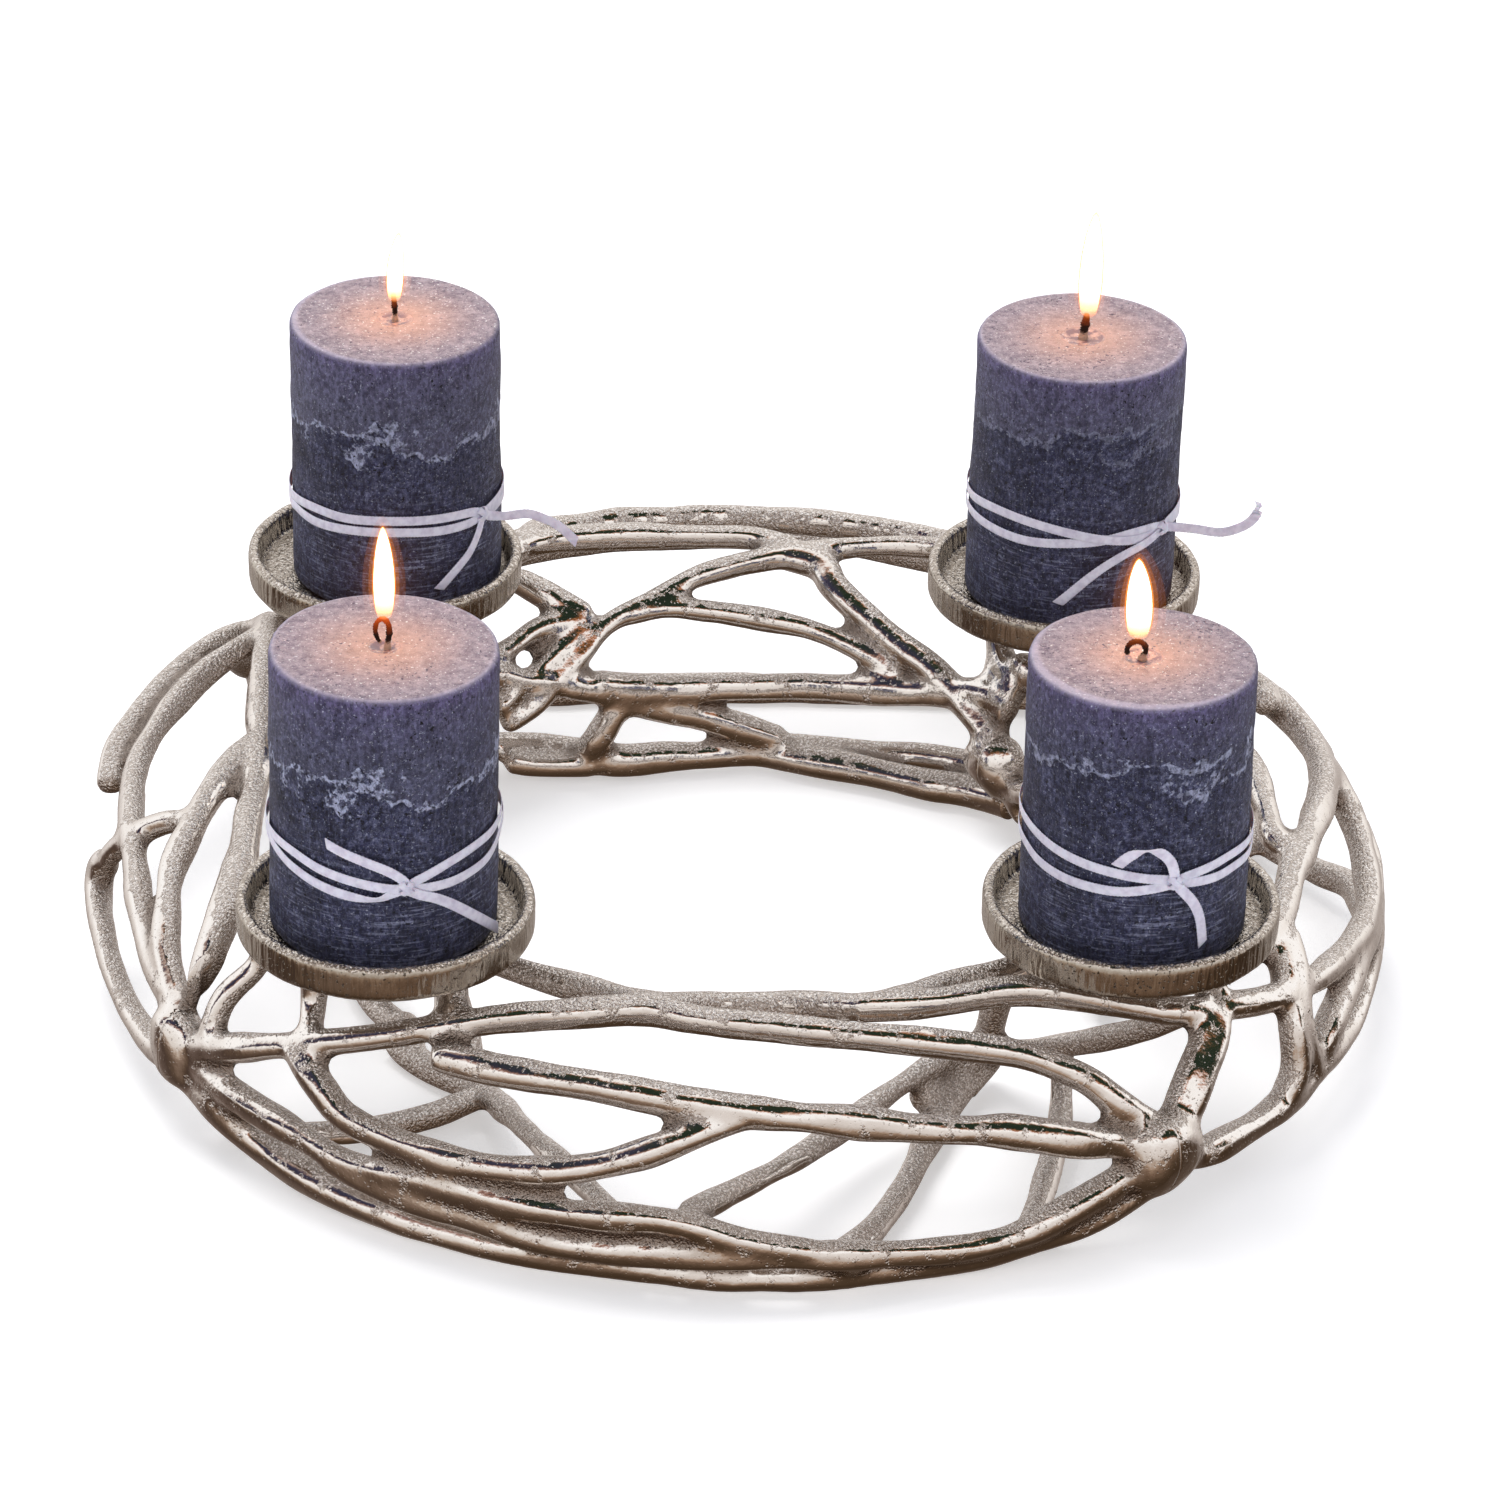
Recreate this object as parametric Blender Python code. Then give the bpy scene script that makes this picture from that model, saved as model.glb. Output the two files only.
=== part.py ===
"""An advent wreath: a ring of cast metal rods that carries four dishes, each with a lit, ribboned candle.

The wreath stands on z = 0 with its axis on Z and its front towards -Y. Rods are laid on the
ring's form, a torus with a flattened underside, by a bearing round the axis (degrees, -90 is
the front) and a tilt round the tube (0 outermost, 90 on top, 180 innermost, -90 underneath).
"""

import math

import bmesh
import bpy
from mathutils import Vector

MM = 0.001

# The ring's form, through the middle of the rods
RING_MIDDLE = 164.0
RING_HALF_WIDTH = 45.0
WAIST_HEIGHT = 25.0
CROWN_RISE = 45.0
FOOT_DROP = 20.0
FOOT_SQUARENESS = 0.2
# Height of the middle of a rod that lies on the floor, where it is ground flat
ON_FLOOR = 4.2

# The rods
STOUT, FULL, SLIM = 5.2, 4.5, 3.8
ROD_SIDES = 5
ROD_STEP = 18.0
KNUCKLE_RADIUS = 12.0
KNUCKLE_FACETS = 2
KNUCKLE_FLATTENING = 0.25
# Share of the faces that a joined section keeps
KEPT_FACES = 0.7

# The ring is cast in four lengths, which meet in the middle of a knuckle at these bearings
SEAM_BEARINGS = {"left": -149.0, "front": -54.0, "right": 40.0, "back": 138.0}
SEAM_GAP = 0.3
CUTTER_REACH = 320.0
CUTTER_HEIGHT = 140.0

# The dishes: their centres and the height of each rim, as the castings were welded
DISH_PLACES = {
    "front_left": (-114.8, -114.4, 88.1),
    "front_right": (116.4, -113.9, 89.2),
    "back_left": (-116.2, 116.0, 88.9),
    "back_right": (114.6, 112.2, 85.8),
}
DISH_RADIUS = 46.15
DISH_HEIGHT = 11.75
DISH_CHAMFER = 1.6
RIM_THICKNESS = 3.6
WALL_DRAFT = 0.5
DISH_DEPTH = 8.5
BOSS_RADIUS = 13.0
BOSS_HEIGHT = 1.0
ROUND_SIDES = 28

# The candles, their wicks and flames
CANDLE_RADIUS = 35.0
CANDLE_ABOVE_RIM = 84.6
CANDLE_EDGE = 1.5
POOL_RADIUS = 17.0
POOL_DEPTH = 1.2
CANDLE_SHIFTS = {
    "front_left": (-0.6, 0.7),
    "front_right": (-0.5, -1.4),
    "back_left": (3.6, 0.3),
    "back_right": (1.6, 0.0),
}
# What each was poured higher than that
CANDLE_RISES = {"front_left": 1.7, "front_right": 0.0, "back_left": 0.4, "back_right": 0.8}
WICK_RADIUS = 1.2
WICK_SIDES = 8
FLAME_SIDES = 12
GAP = 0.3

# The ribbons
RIBBON_WIDTH = 3.0
RIBBON_PITCH = 3.4
RIBBON_TURNS = 2
RIBBON_STEP = 9.3
RIBBON_ROUNDING = 2
RIBBON_RADIUS = CANDLE_RADIUS + RIBBON_WIDTH / 2 + 2 * GAP
TURN_POINTS = 24


def dish_underside(name):
    return DISH_PLACES[name][2] - DISH_HEIGHT


# Heights where the posts stop, just under the dish that they carry
UNDER_FRONT_LEFT = dish_underside("front_left") - GAP
UNDER_FRONT_RIGHT = dish_underside("front_right") - GAP
UNDER_BACK_LEFT = dish_underside("back_left") - GAP
UNDER_BACK_RIGHT = dish_underside("back_right") - GAP

# Each rod is its radius and the points that it runs through: (bearing, tilt) on the form,
# or (bearing, distance from the axis, height) where it leaves it
FRONT_RODS = {
    "outer foot": (
        STOUT,
        [(-156, 0), (-149, -12), (-143, -22), (-137, -52), (-127, 203, 6), (-112, 200, ON_FLOOR),
         (-92, 200, ON_FLOOR), (-76, 200, ON_FLOOR), (-66, -64), (-59, -38), (-51, -6)],
    ),
    "waist ripple": (
        FULL,
        [(-154, 6), (-143, 2), (-132, 0), (-127, -6), (-119, 2), (-108, 2),
         (-98, 4), (-92, -8), (-86, -22), (-81, -50)],
    ),
    "low ripple": (
        FULL,
        [(-130, -8), (-121, -18), (-114, -22), (-107, -32), (-98, -26), (-90, -24),
         (-82, -29), (-74, -39), (-68, -37), (-63, -18), (-54, 2)],
    ),
    "polished wave": (
        FULL,
        [(-136, 36), (-131, 24), (-127, 16), (-119, 14), (-112, 16), (-106, 21),
         (-101, 29), (-96, 39), (-90, 51)],
    ),
    "free-ended bar": (
        STOUT,
        [(-122, 51), (-114, 53), (-105, 54), (-97, 51), (-90, 48), (-83, 44),
         (-76, 38), (-69, 32), (-62, 21), (-52, 4)],
    ),
    "crest bar": (
        FULL,
        [(-154, 2), (-149, 7), (-144, 15), (-138, 28), (-130, 45), (-124, 59), (-117, 75),
         (-110, 88), (-103, 100), (-97, 95), (-88, 90), (-80, 82), (-72, 72),
         (-65, 60), (-60, 44), (-57, 28), (-52, 8)],
    ),
    "inner crest bar": (
        FULL,
        [(-156, 118), (-140, 128), (-128, 124), (-117, 123), (-110, 119), (-103, 106), (-97, 118),
         (-90, 124), (-84, 120), (-78, 106), (-72, 108), (-65, 117), (-57, 113), (-49, 104)],
    ),
    "crest fork": (
        FULL,
        [(-80, 106), (-71, 99), (-62, 94), (-57, 83), (-53, 70), (-48, 56)],
    ),
    "left post": (SLIM, [(-134, 40), (-136, 190, 61), (-136, 190, UNDER_FRONT_LEFT)]),
    "middle post": (STOUT, [(-121, 66), (-123, 173.5, 69), (-123, 173.5, UNDER_FRONT_LEFT)]),
    "knuckle post": (SLIM, [(-145, 12), (-145, 34), (-144, 190, 62), (-144, 190, UNDER_FRONT_LEFT)]),
    "inner post": (FULL, [(-140, 128), (-138, 141, 66), (-138, 141, UNDER_FRONT_LEFT)]),
    "inner foot": (FULL, [(-156, 246), (-146, 130, ON_FLOOR), (-137, 129, ON_FLOOR), (-130, 129, 6)]),
    "floor tie": (
        SLIM,
        [(-144, -20), (-145, 201, 9), (-141, 193, 6), (-136, 175, 5.5), (-132, 152, 5.5), (-129, 128, 7)],
    ),
    "rising tie": (SLIM, [(-130, 129, 6), (-114, 163, 18), (-102, 206, 25)]),
    "looping tie": (
        FULL,
        [(-45, 113, 10), (-53, 118, 9), (-60, 126, 8), (-66, 138, 7), (-73, 160, 6), (-79, 182, 6),
         (-84, 199, 7)],
    ),
    "web": (FULL, [(-49, 114, 14), (-54, 117, 14), (-60, 121, 13), (-66, 128, 13)]),
    "twig": (
        SLIM,
        [(-45, 113, 16), (-57, 118, 20), (-68, 127, 21), (-79, 143, 19), (-88, 170, 23), (-97, 206, 28)],
    ),
    "corner tie": (
        SLIM,
        [(-45.5, 142, 15), (-51, 155, 7), (-58, 173, 6), (-63, 190, 7), (-66, 200, 8)],
    ),
    "left stay": (FULL, [(-134, 249), (-137, 215), (-141, 180), (-143, 150), (-140, 128)]),
}

RIGHT_RODS = {
    "outer foot": (
        FULL,
        [(-60, -8), (-54, 1), (-49, -13), (-42, -18), (-35, -20), (-31, -12), (-27, -14),
         (-22, -18), (-16, -3), (-9, 2), (-2, 10), (5, 20)],
    ),
    "far foot": (
        FULL,
        [(46, -40), (38, -46), (31, 196, 8), (23, 190, 8), (16, 192, 8), (10, 200, 10), (5, -34), (0, -29),
         (-5, -18), (-11, 2)],
    ),
    "waist fork": (FULL, [(-31, -4), (-28, 8), (-23, 13), (-17, 14), (-11, 12), (-5, 8)]),
    "shoulder bar": (
        FULL,
        [(12, 44), (4, 38), (-1, 27), (-8, 19), (-14, 19), (-22, 25), (-30, 31), (-37, 39), (-43, 48)],
    ),
    "polished loop": (
        STOUT,
        [(16, 64), (19, 51), (14, 40), (6, 46), (-2, 54), (-11, 61), (-19, 63), (-28, 57), (-36, 60),
         (-42, 66)],
    ),
    "dark bar": (
        FULL,
        [(8, 122), (6, 104), (2, 88), (-9, 81), (-15, 74), (-15, 58)],
    ),
    "first upright": (FULL, [(-28, 55), (-30.5, 41), (-33, 22), (-32.5, 6), (-31, -8)]),
    "second upright": (FULL, [(-28, 56), (-32, 42), (-34.5, 22), (-35, 4), (-37, -16)]),
    "corner upright": (
        FULL,
        [(-54, 2), (-51, 14), (-48, 26), (-44, 40), (-42, 190, 62), (-42, 190, UNDER_FRONT_RIGHT)],
    ),
    "corner strand": (SLIM, [(-53, 12), (-49, 31), (-44, 46)]),
    "crest fork": (FULL, [(-60, 88), (-57, 83), (-53, 70), (-48, 56), (-43, 47)]),
    "inner crest bar": (
        FULL,
        [(-60, 114), (-57, 113), (-49, 104), (-40, 108), (-30, 122), (-14, 118), (0, 126), (12, 120),
         (24, 126), (46, 132)],
    ),
    "inner post": (FULL, [(-40, 108), (-41, 148, 72), (-41, 148, UNDER_FRONT_RIGHT)]),
    "back post": (FULL, [(26, 42), (32, 50), (36, 186, 66), (36, 186, UNDER_BACK_RIGHT)]),
    "inner foot": (FULL, [(-23, 246), (-10, 248), (0, 246), (20, 248), (38, 130, 7), (46, 129, 8)]),
    "hook": (FULL, [(-47, 114, 10), (-49, 118, 26), (-49, 124, 44), (-46, 136, 60), (-41, 150, 69)]),
    "low fork": (FULL, [(-45, 113, 10), (-53, 118, 8), (-60, 125, 7)]),
    "upper fork": (SLIM, [(-45, 113, 16), (-57, 118, 20), (-62, 122, 20)]),
    "corner rise": (SLIM, [(-47, 114, 12), (-46, 139, 24), (-45, 168, 41), (-44, 190, 57)]),
    "corner tie": (
        SLIM,
        [(-45.5, 141, 26), (-45.5, 142, 15), (-51, 155, 7), (-58, 173, 6)],
    ),
    "inner stay": (FULL, [(-18, 248), (-14, 215), (-19, 180), (-17, 150), (-14, 118)]),
    "second inner stay": (SLIM, [(10, 247), (4, 215), (7, 180), (4, 150), (8, 122)]),
    "far inner stay": (FULL, [(46, 176), (36, 188), (29, 176), (26, 150), (24, 126)]),
    "far foot stay": (SLIM, [(33, 247), (35, 215), (36, 188)]),
    "far shoulder": (
        FULL,
        [(6, 44), (14, 37), (24, 41), (32, 28), (40, 12), (46, 6)],
    ),
    "far floor tie": (SLIM, [(22, 201, 8), (16, 178, 7), (8, 150, 7), (3, 128, 8)]),
}

BACK_RODS = {
    "flat band": (
        FULL,
        [(114, 86), (110, 66), (102, 60), (91, 60), (80, 61), (70, 62), (62, 66), (56, 52)],
    ),
    "crest bar": (
        FULL,
        [(123, 100), (115, 88), (110, 86), (102, 90), (93, 94), (86, 95), (80, 102)],
    ),
    "long strand": (
        SLIM,
        [(130, 171), (123, 166), (118, 158), (113.5, 150), (107.8, 138.5), (101.5, 131.5), (94, 120),
         (86, 111), (78, 102), (70, 90), (62, 78), (56, 60)],
    ),
    "crest drop": (FULL, [(119, 104), (115, 122), (110, 136)]),
    "polished swoop": (
        STOUT,
        [(83, 106), (77, 110), (74.3, 121), (69, 132), (62.2, 142), (55.2, 149), (48.2, 158), (41.5, 166),
         (35, 174)],
    ),
    "upper inner strand": (
        SLIM,
        [(106, 136), (99, 134), (93, 136), (85, 139), (77, 142), (71, 146), (65, 151), (60, 157)],
    ),
    "waist bar": (
        STOUT,
        [(113, 163), (106, 168), (94, 170.5), (77, 167.5), (62, 162.5), (52, 156), (45, 150), (36, 152)],
    ),
    "falling strand": (FULL, [(118, 160), (111, 167), (103, 177), (94, 188), (86, 205), (79, 221)]),
    "short stay": (FULL, [(106.5, 170), (109.3, 184), (111.3, 208), (112, 126, 9)]),
    "inner foot": (
        STOUT,
        [(146, 182), (138, 178), (129, 140, 14), (122, 140, 10), (115, 132, 8), (108, 120, 7), (100, 118, 7),
         (92, 118, 7), (84, 121, 7), (76, 118, 7), (66, 118, 7), (55, 120, 7), (49, 125, 7), (42, 128, 8),
         (34, 130, 9)],
    ),
    "foot band": (
        FULL,
        [(80, 122, 9), (68, 128, 8), (58.5, 134, 9), (51.5, 136, 11), (46, 136, 14), (40, 133, 17),
         (34, 130, 19)],
    ),
    "tongue": (FULL, [(124, 136, 8), (120, 130, 6), (115, 124, 6), (110, 121, 6)]),
    "left strand": (FULL, [(146, 148), (138, 146), (130, 147), (124, 155), (118, 160)]),
    "left branch": (SLIM, [(110, 136), (115, 144), (120, 151), (125, 157), (131, 163)]),
    "left upper strand": (SLIM, [(146, 140), (136, 142), (125, 139), (118, 134), (110, 136)]),
    "left crest": (FULL, [(146, 112), (132, 110), (123, 100), (118, 104)]),
    "left post": (FULL, [(130, 110), (131, 148, 72), (131, 148, UNDER_BACK_LEFT)]),
    "corner upright": (
        FULL,
        [(35, 172), (38, 157), (41.5, 142), (46, 132), (48, 137, 66), (48, 137, UNDER_BACK_RIGHT)],
    ),
    "corner strand": (SLIM, [(42, 158), (45, 146), (47, 130)]),
    "outer foot": (
        STOUT,
        [(32, -40), (44, -52), (55, 199, 6), (66, 184, ON_FLOOR), (78, 174, ON_FLOOR), (92, 171, ON_FLOOR),
         (104, 174, ON_FLOOR), (115, 186, ON_FLOOR), (122, 199, 6), (129, -46),
         (134, -20), (139, 4), (146, 8)],
    ),
    "outer shoulder": (
        FULL,
        [(36, 4), (44, 10), (52, 26), (57, 46), (62, 66)],
    ),
    "outer waist": (
        FULL,
        [(34, 4), (44, 8), (54, 18), (64, 26), (74, 206, 46), (84, 209, 45), (94, 209, 45), (104, 207, 46),
         (114, 27), (124, 18), (132, 8), (146, 8)],
    ),
    "outer left stay": (FULL, [(112, 84), (118, 58), (124, 34), (128, 8), (126, -34), (124, -66)]),
    "outer right stay": (SLIM, [(70, 62), (66, 40), (64, 14), (61, -26), (58, 196, 6)]),
    "back left post": (FULL, [(124, 36), (130, 50), (134, 190, 66), (134, 190, UNDER_BACK_LEFT)]),
    "back right post": (FULL, [(51, 20), (48, 40), (47, 190, 62), (47, 190, UNDER_BACK_RIGHT)]),
}

LEFT_RODS = {
    "outer crest": (
        FULL,
        [(138, 8), (141, 200, 46), (146, 197, 58), (152, 202, 58), (157, 205, 55), (162, 208, 51),
         (167, 210, 47), (172, 209, 42)],
    ),
    "shoulder bar": (
        FULL,
        [(141, 72), (151, 60), (156, 49), (162, 43), (169, 39), (176, 40), (184, 41),
         (191, 39), (197, 33), (202, 26), (207, 20), (214, 14)],
    ),
    "long bar": (
        STOUT,
        [(132, 10), (138, 24), (144, 50), (152, 75), (162, 90), (174, 99), (184, 98),
         (193, 91), (202, 78), (208, 58), (211, 38), (214, 22)],
    ),
    "dark cross": (
        FULL,
        [(174, 99), (180, 90), (185.5, 81), (191, 70), (196.5, 54), (201, 43), (205, 31), (211, 16)],
    ),
    "crossing stay": (SLIM, [(191, 70), (188.5, 58), (186.5, 42), (184.5, 26), (182.5, 9)]),
    "far foot": (FULL, [(130, 8), (136, 6), (141, 12), (145, 26), (148, 36), (152, 46)]),
    "outer foot": (
        FULL,
        [(184, 22), (182, 9), (185, 2), (189, 1), (194, -7), (200, -18), (206, -19), (211, -10), (218, 4)],
    ),
    "inner crest": (
        FULL,
        [(132, 112), (142, 114), (156, 128), (170, 122), (186, 130), (202, 122), (218, 126)],
    ),
    "left post": (FULL, [(144, 114), (140, 148, 72), (140, 148, UNDER_BACK_LEFT)]),
    "inner foot": (
        FULL,
        [(132, 186), (140, 192), (146, 220), (152, 244), (166, 249), (184, 246), (200, 249),
         (218, 246)],
    ),
    "inner waist": (
        SLIM,
        [(132, 150), (144, 158), (156, 176), (170, 184), (184, 174), (198, 186), (218, 178)],
    ),
    "inner stay": (FULL, [(162, 248), (166, 215), (170, 184), (168, 150), (170, 122)]),
    "second inner stay": (SLIM, [(196, 248), (200, 215), (198, 186), (200, 150), (202, 122)]),
    "corner stay": (FULL, [(146, 226), (143, 200), (142, 170), (140, 140), (142, 114)]),
    "top stay": (FULL, [(174, 98), (172, 110), (170, 122)]),
}

SECTIONS = {
    "front": (FRONT_RODS, "left", "front"),
    "right": (RIGHT_RODS, "front", "right"),
    "back": (BACK_RODS, "right", "back"),
    "left": (LEFT_RODS, "back", "left"),
}

# Where the lengths meet: lumps of metal on the form, with their size against the usual one
KNUCKLES = {
    "left": [((-149, 4), 1.0), ((-149, 246), 0.6), ((-149, 122), 0.6)],
    "front": [((-54, 5), 1.1), ((-54, 117, 12), 0.6), ((-54, 110), 0.6)],
    "right": [((40, 6), 1.0), ((40, 178), 0.9), ((40, 134), 0.6)],
    "back": [((138, 8), 1.0), ((138, 176), 0.9), ((138, 112), 0.6)],
}

# Each wick from the candle's pool upwards: (sideways, towards the back, above the candle's top)
WICK_TIPS = {
    "front_left": [(0, 0, 2), (1, 0, 6.5), (3, 0, 9.5), (1, 0, 11.5), (-1.5, 0, 9.5)],
    "front_right": [(0, 0, 2), (-3, 0, 4), (-3.5, 0, 7.5), (-0.5, 0, 9), (3, 0, 7), (3, 0, 4)],
    "back_left": [(0, 0, 3), (-0.3, 0, 6.5), (-0.6, 0, 9)],
    "back_right": [(0, 0, 3), (0.6, 0, 5.5), (0.8, 0, 8)],
}
# Each flame: its middle (sideways), the height of its base and its tip, and its widest radius
FLAMES = {
    "front_left": (0.5, 13.0, 40.5, 3.2),
    "front_right": (-0.4, 10.6, 34.5, 4.2),
    "back_left": (0.6, 9.5, 31.5, 3.0),
    "back_right": (1.4, 8.5, 45.0, 3.7),
}
# A flame's outline from base to tip: share of its height, share of its widest radius
FLAME_OUTLINE = [(0.0, 0.45), (0.08, 0.8), (0.25, 1.0), (0.5, 0.86), (0.75, 0.5), (0.92, 0.2)]

# Each ribbon: the knot's bearing and height over the rim, how much the loops rise behind it, which way
# the turns climb, and the two tails as (bearing, distance from the candle's axis, height over the rim)
RIBBONS = {
    "front_left": {
        "knot": (-79, 22.0), "rise": 2.4, "climb": -1,
        "first tail": [(-119, 38.6, 35.5), (-109, 38.4, 33.4), (-99, 38.2, 31.2), (-89, 37.8, 28.4)],
        "last tail": [
            (-68, 37.6, 16.8), (-59, 38.0, 13.6), (-47, 38.4, 8.2), (-34, 38.8, 2.2), (-24, 39.0, -3.0),
        ],
    },
    "front_right": {
        "knot": (-76, 25.0), "rise": 0.6, "climb": -1,
        "first tail": [
            (-105, 40.0, 32.0), (-99, 40.6, 36.4), (-92, 40.2, 38.6), (-85, 39.4, 37.2), (-80, 38.4, 33.0),
        ],
        "last tail": [(-70, 37.6, 17.8), (-66, 38.0, 14.4), (-63, 38.6, 9.4), (-61, 38.8, 2.4)],
    },
    "back_left": {
        "knot": (-38, 24.2), "rise": 0.4, "climb": 1,
        "first tail": [(-68, 38.4, 1.6), (-60, 38.2, 6.4), (-51, 37.8, 11.4), (-45, 37.4, 16.4)],
        "last tail": [(-27, 40.0, 27.4), (-22, 46.4, 24.6), (-21, 53.0, 22.2), (-18, 62.0, 12.6)],
    },
    "back_right": {
        "knot": (-40, 26.0), "rise": 0.6, "climb": 1,
        "first tail": [(-101, 38.4, 4.0), (-87, 38.4, 13.2), (-71, 38.0, 19.0), (-58, 37.6, 21.6)],
        "last tail": [(-31, 41.0, 28.6), (-27, 50.0, 25.8), (-25, 58.6, 28.0), (-24, 63.6, 35.6)],
    },
}


def on_form(point):
    """A rod's point in millimetres, from the ways of writing it that are given above."""
    bearing = math.radians(point[0])
    if len(point) == 3:
        distance, height = point[1], point[2]
    else:
        tilt = math.radians(point[1])
        out, up = math.cos(tilt), math.sin(tilt)
        if up < 0:
            out = math.copysign(abs(out) ** FOOT_SQUARENESS, out)
        distance = RING_MIDDLE + RING_HALF_WIDTH * out
        height = WAIST_HEIGHT + (CROWN_RISE if up > 0 else FOOT_DROP) * up
    return Vector((distance * math.cos(bearing), distance * math.sin(bearing), height))


def smooth_path(points, step):
    """Points about one step apart on a Catmull-Rom curve through the given ones."""
    ends = [2 * points[0] - points[1]] + points + [2 * points[-1] - points[-2]]
    path = []
    for before, start, end, after in zip(ends, ends[1:], ends[2:], ends[3:]):
        count = max(1, round((end - start).length / step))
        for i in range(count):
            t = i / count
            path.append(
                0.5 * (2 * start + (end - before) * t
                       + (2 * before - 5 * start + 4 * end - after) * t**2
                       + (3 * start - before - 3 * end + after) * t**3)
            )
    return path + [points[-1]]


def add_tube(shape, path, radius, sides):
    """A closed tube along the path, whose rings turn as little as they can."""
    along = [(b - a).normalized() for a, b in zip(path, path[1:])]
    bends = [along[0]] + [(a + b).normalized() for a, b in zip(along, along[1:])] + [along[-1]]
    across = bends[0].orthogonal().normalized()
    rings = []
    for centre, forward in zip(path, bends):
        across = (across - forward * across.dot(forward)).normalized()
        upward = forward.cross(across)
        turns = [2 * math.pi * i / sides for i in range(sides)]
        rings.append([
            shape.verts.new((centre + radius * (across * math.cos(a) + upward * math.sin(a))) * MM)
            for a in turns
        ])
    for ring, following in zip(rings, rings[1:]):
        for i in range(sides):
            j = (i + 1) % sides
            shape.faces.new((ring[i], ring[j], following[j], following[i]))
    shape.faces.new(list(reversed(rings[0])))
    shape.faces.new(rings[-1])


def add_lump(shape, point, size):
    """A knuckle of metal: a faceted ball, a little flattened towards the ring's axis."""
    centre = on_form(point)
    made = bmesh.ops.create_icosphere(shape, subdivisions=KNUCKLE_FACETS, radius=KNUCKLE_RADIUS * size * MM)
    outward = Vector((centre.x, centre.y, 0)).normalized()
    for corner in made["verts"]:
        corner.co -= outward * corner.co.dot(outward) * KNUCKLE_FLATTENING
        corner.co += centre * MM


def material(name, colour, roughness, metallic=0.0, glow=0.0):
    made = bpy.data.materials.new(name)
    made.use_nodes = True
    shader = made.node_tree.nodes["Principled BSDF"]
    shader.inputs["Base Color"].default_value = (*colour, 1.0)
    shader.inputs["Roughness"].default_value = roughness
    shader.inputs["Metallic"].default_value = metallic
    shader.inputs["Emission Color"].default_value = (*colour, 1.0)
    shader.inputs["Emission Strength"].default_value = glow
    made.diffuse_color = (*colour, 1.0)
    return made


def place(name, shape, look, sharp_angle=40):
    """An object that holds the finished shape."""
    bmesh.ops.recalc_face_normals(shape, faces=shape.faces)
    mesh = bpy.data.meshes.new(name)
    shape.to_mesh(mesh)
    shape.free()
    mesh.shade_smooth()
    mesh.set_sharp_from_angle(angle=math.radians(sharp_angle))
    mesh.materials.append(look)
    made = bpy.data.objects.new(name, mesh)
    bpy.context.collection.objects.link(made)
    return made


def helper(name, shape, look):
    """An object that only shapes others."""
    made = place(name, shape, look)
    made.hide_render = True
    made.display_type = "WIRE"
    return made


def wedge(name, start, end, look):
    """A block between the seam planes at two bearings, half a seam gap inside each, and above the floor."""
    start, end = math.radians(start), math.radians(end)
    if end < start:
        end += 2 * math.pi
    middle = (start + end) / 2
    apex_shift = SEAM_GAP / 2 / math.sin((end - start) / 2)
    apex = Vector((math.cos(middle), math.sin(middle), 0)) * apex_shift
    corners = [apex]
    for bearing in (start, middle, end):
        corners.append(apex + CUTTER_REACH * Vector((math.cos(bearing), math.sin(bearing), 0)))
    shape = bmesh.new()
    base = shape.faces.new([shape.verts.new(corner * MM) for corner in corners])
    raised = bmesh.ops.extrude_face_region(shape, geom=[base])["geom"]
    tops = [item for item in raised if isinstance(item, bmesh.types.BMVert)]
    bmesh.ops.translate(shape, verts=tops, vec=(0, 0, CUTTER_HEIGHT * MM))
    return helper(name, shape, look)


def knuckles(name, seams, look):
    """The lumps of metal where a length meets its neighbours."""
    shape = bmesh.new()
    for seam in seams:
        for point, size in KNUCKLES[seam]:
            add_lump(shape, point, size)
    return helper(name, shape, look)


def boolean(made, name, operation, other):
    step = made.modifiers.new(name, "BOOLEAN")
    step.operation = operation
    step.solver = "EXACT"
    step.object = other
    return step


def ring_section(name, look):
    """One cast length of the ring: its rods and knuckles joined, then cut at the seams and at the floor."""
    rods, first_seam, last_seam = SECTIONS[name]
    shape = bmesh.new()
    for radius, points in rods.values():
        add_tube(shape, smooth_path([on_form(point) for point in points], ROD_STEP), radius, ROD_SIDES)
    section = place(f"ring_section_{name}", shape, look)
    lumps = knuckles(f"knuckles_{name}", (first_seam, last_seam), look)
    boolean(section, "join", "UNION", lumps).use_self = True
    section.modifiers.new("fewer faces", "DECIMATE").ratio = KEPT_FACES
    cutter = wedge(f"seams_{name}", SEAM_BEARINGS[first_seam], SEAM_BEARINGS[last_seam], look)
    boolean(section, "seams", "INTERSECT", cutter)
    return section


def turned(name, outline, look, centre, sides=ROUND_SIDES):
    """A solid turned round the vertical axis, from an outline that runs upwards."""
    shape = bmesh.new()
    corners = [shape.verts.new(Vector((r, 0, z)) * MM) for r, z in outline]
    edges = [shape.edges.new(pair) for pair in zip(corners, corners[1:])]
    bmesh.ops.spin(
        shape, geom=corners + edges, axis=(0, 0, 1), cent=(0, 0, 0),
        angle=2 * math.pi, steps=sides, use_merge=True,
    )
    bmesh.ops.remove_doubles(shape, verts=shape.verts, dist=0.001 * MM)
    made = place(name, shape, look)
    made.location = Vector(centre) * MM
    return made


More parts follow.
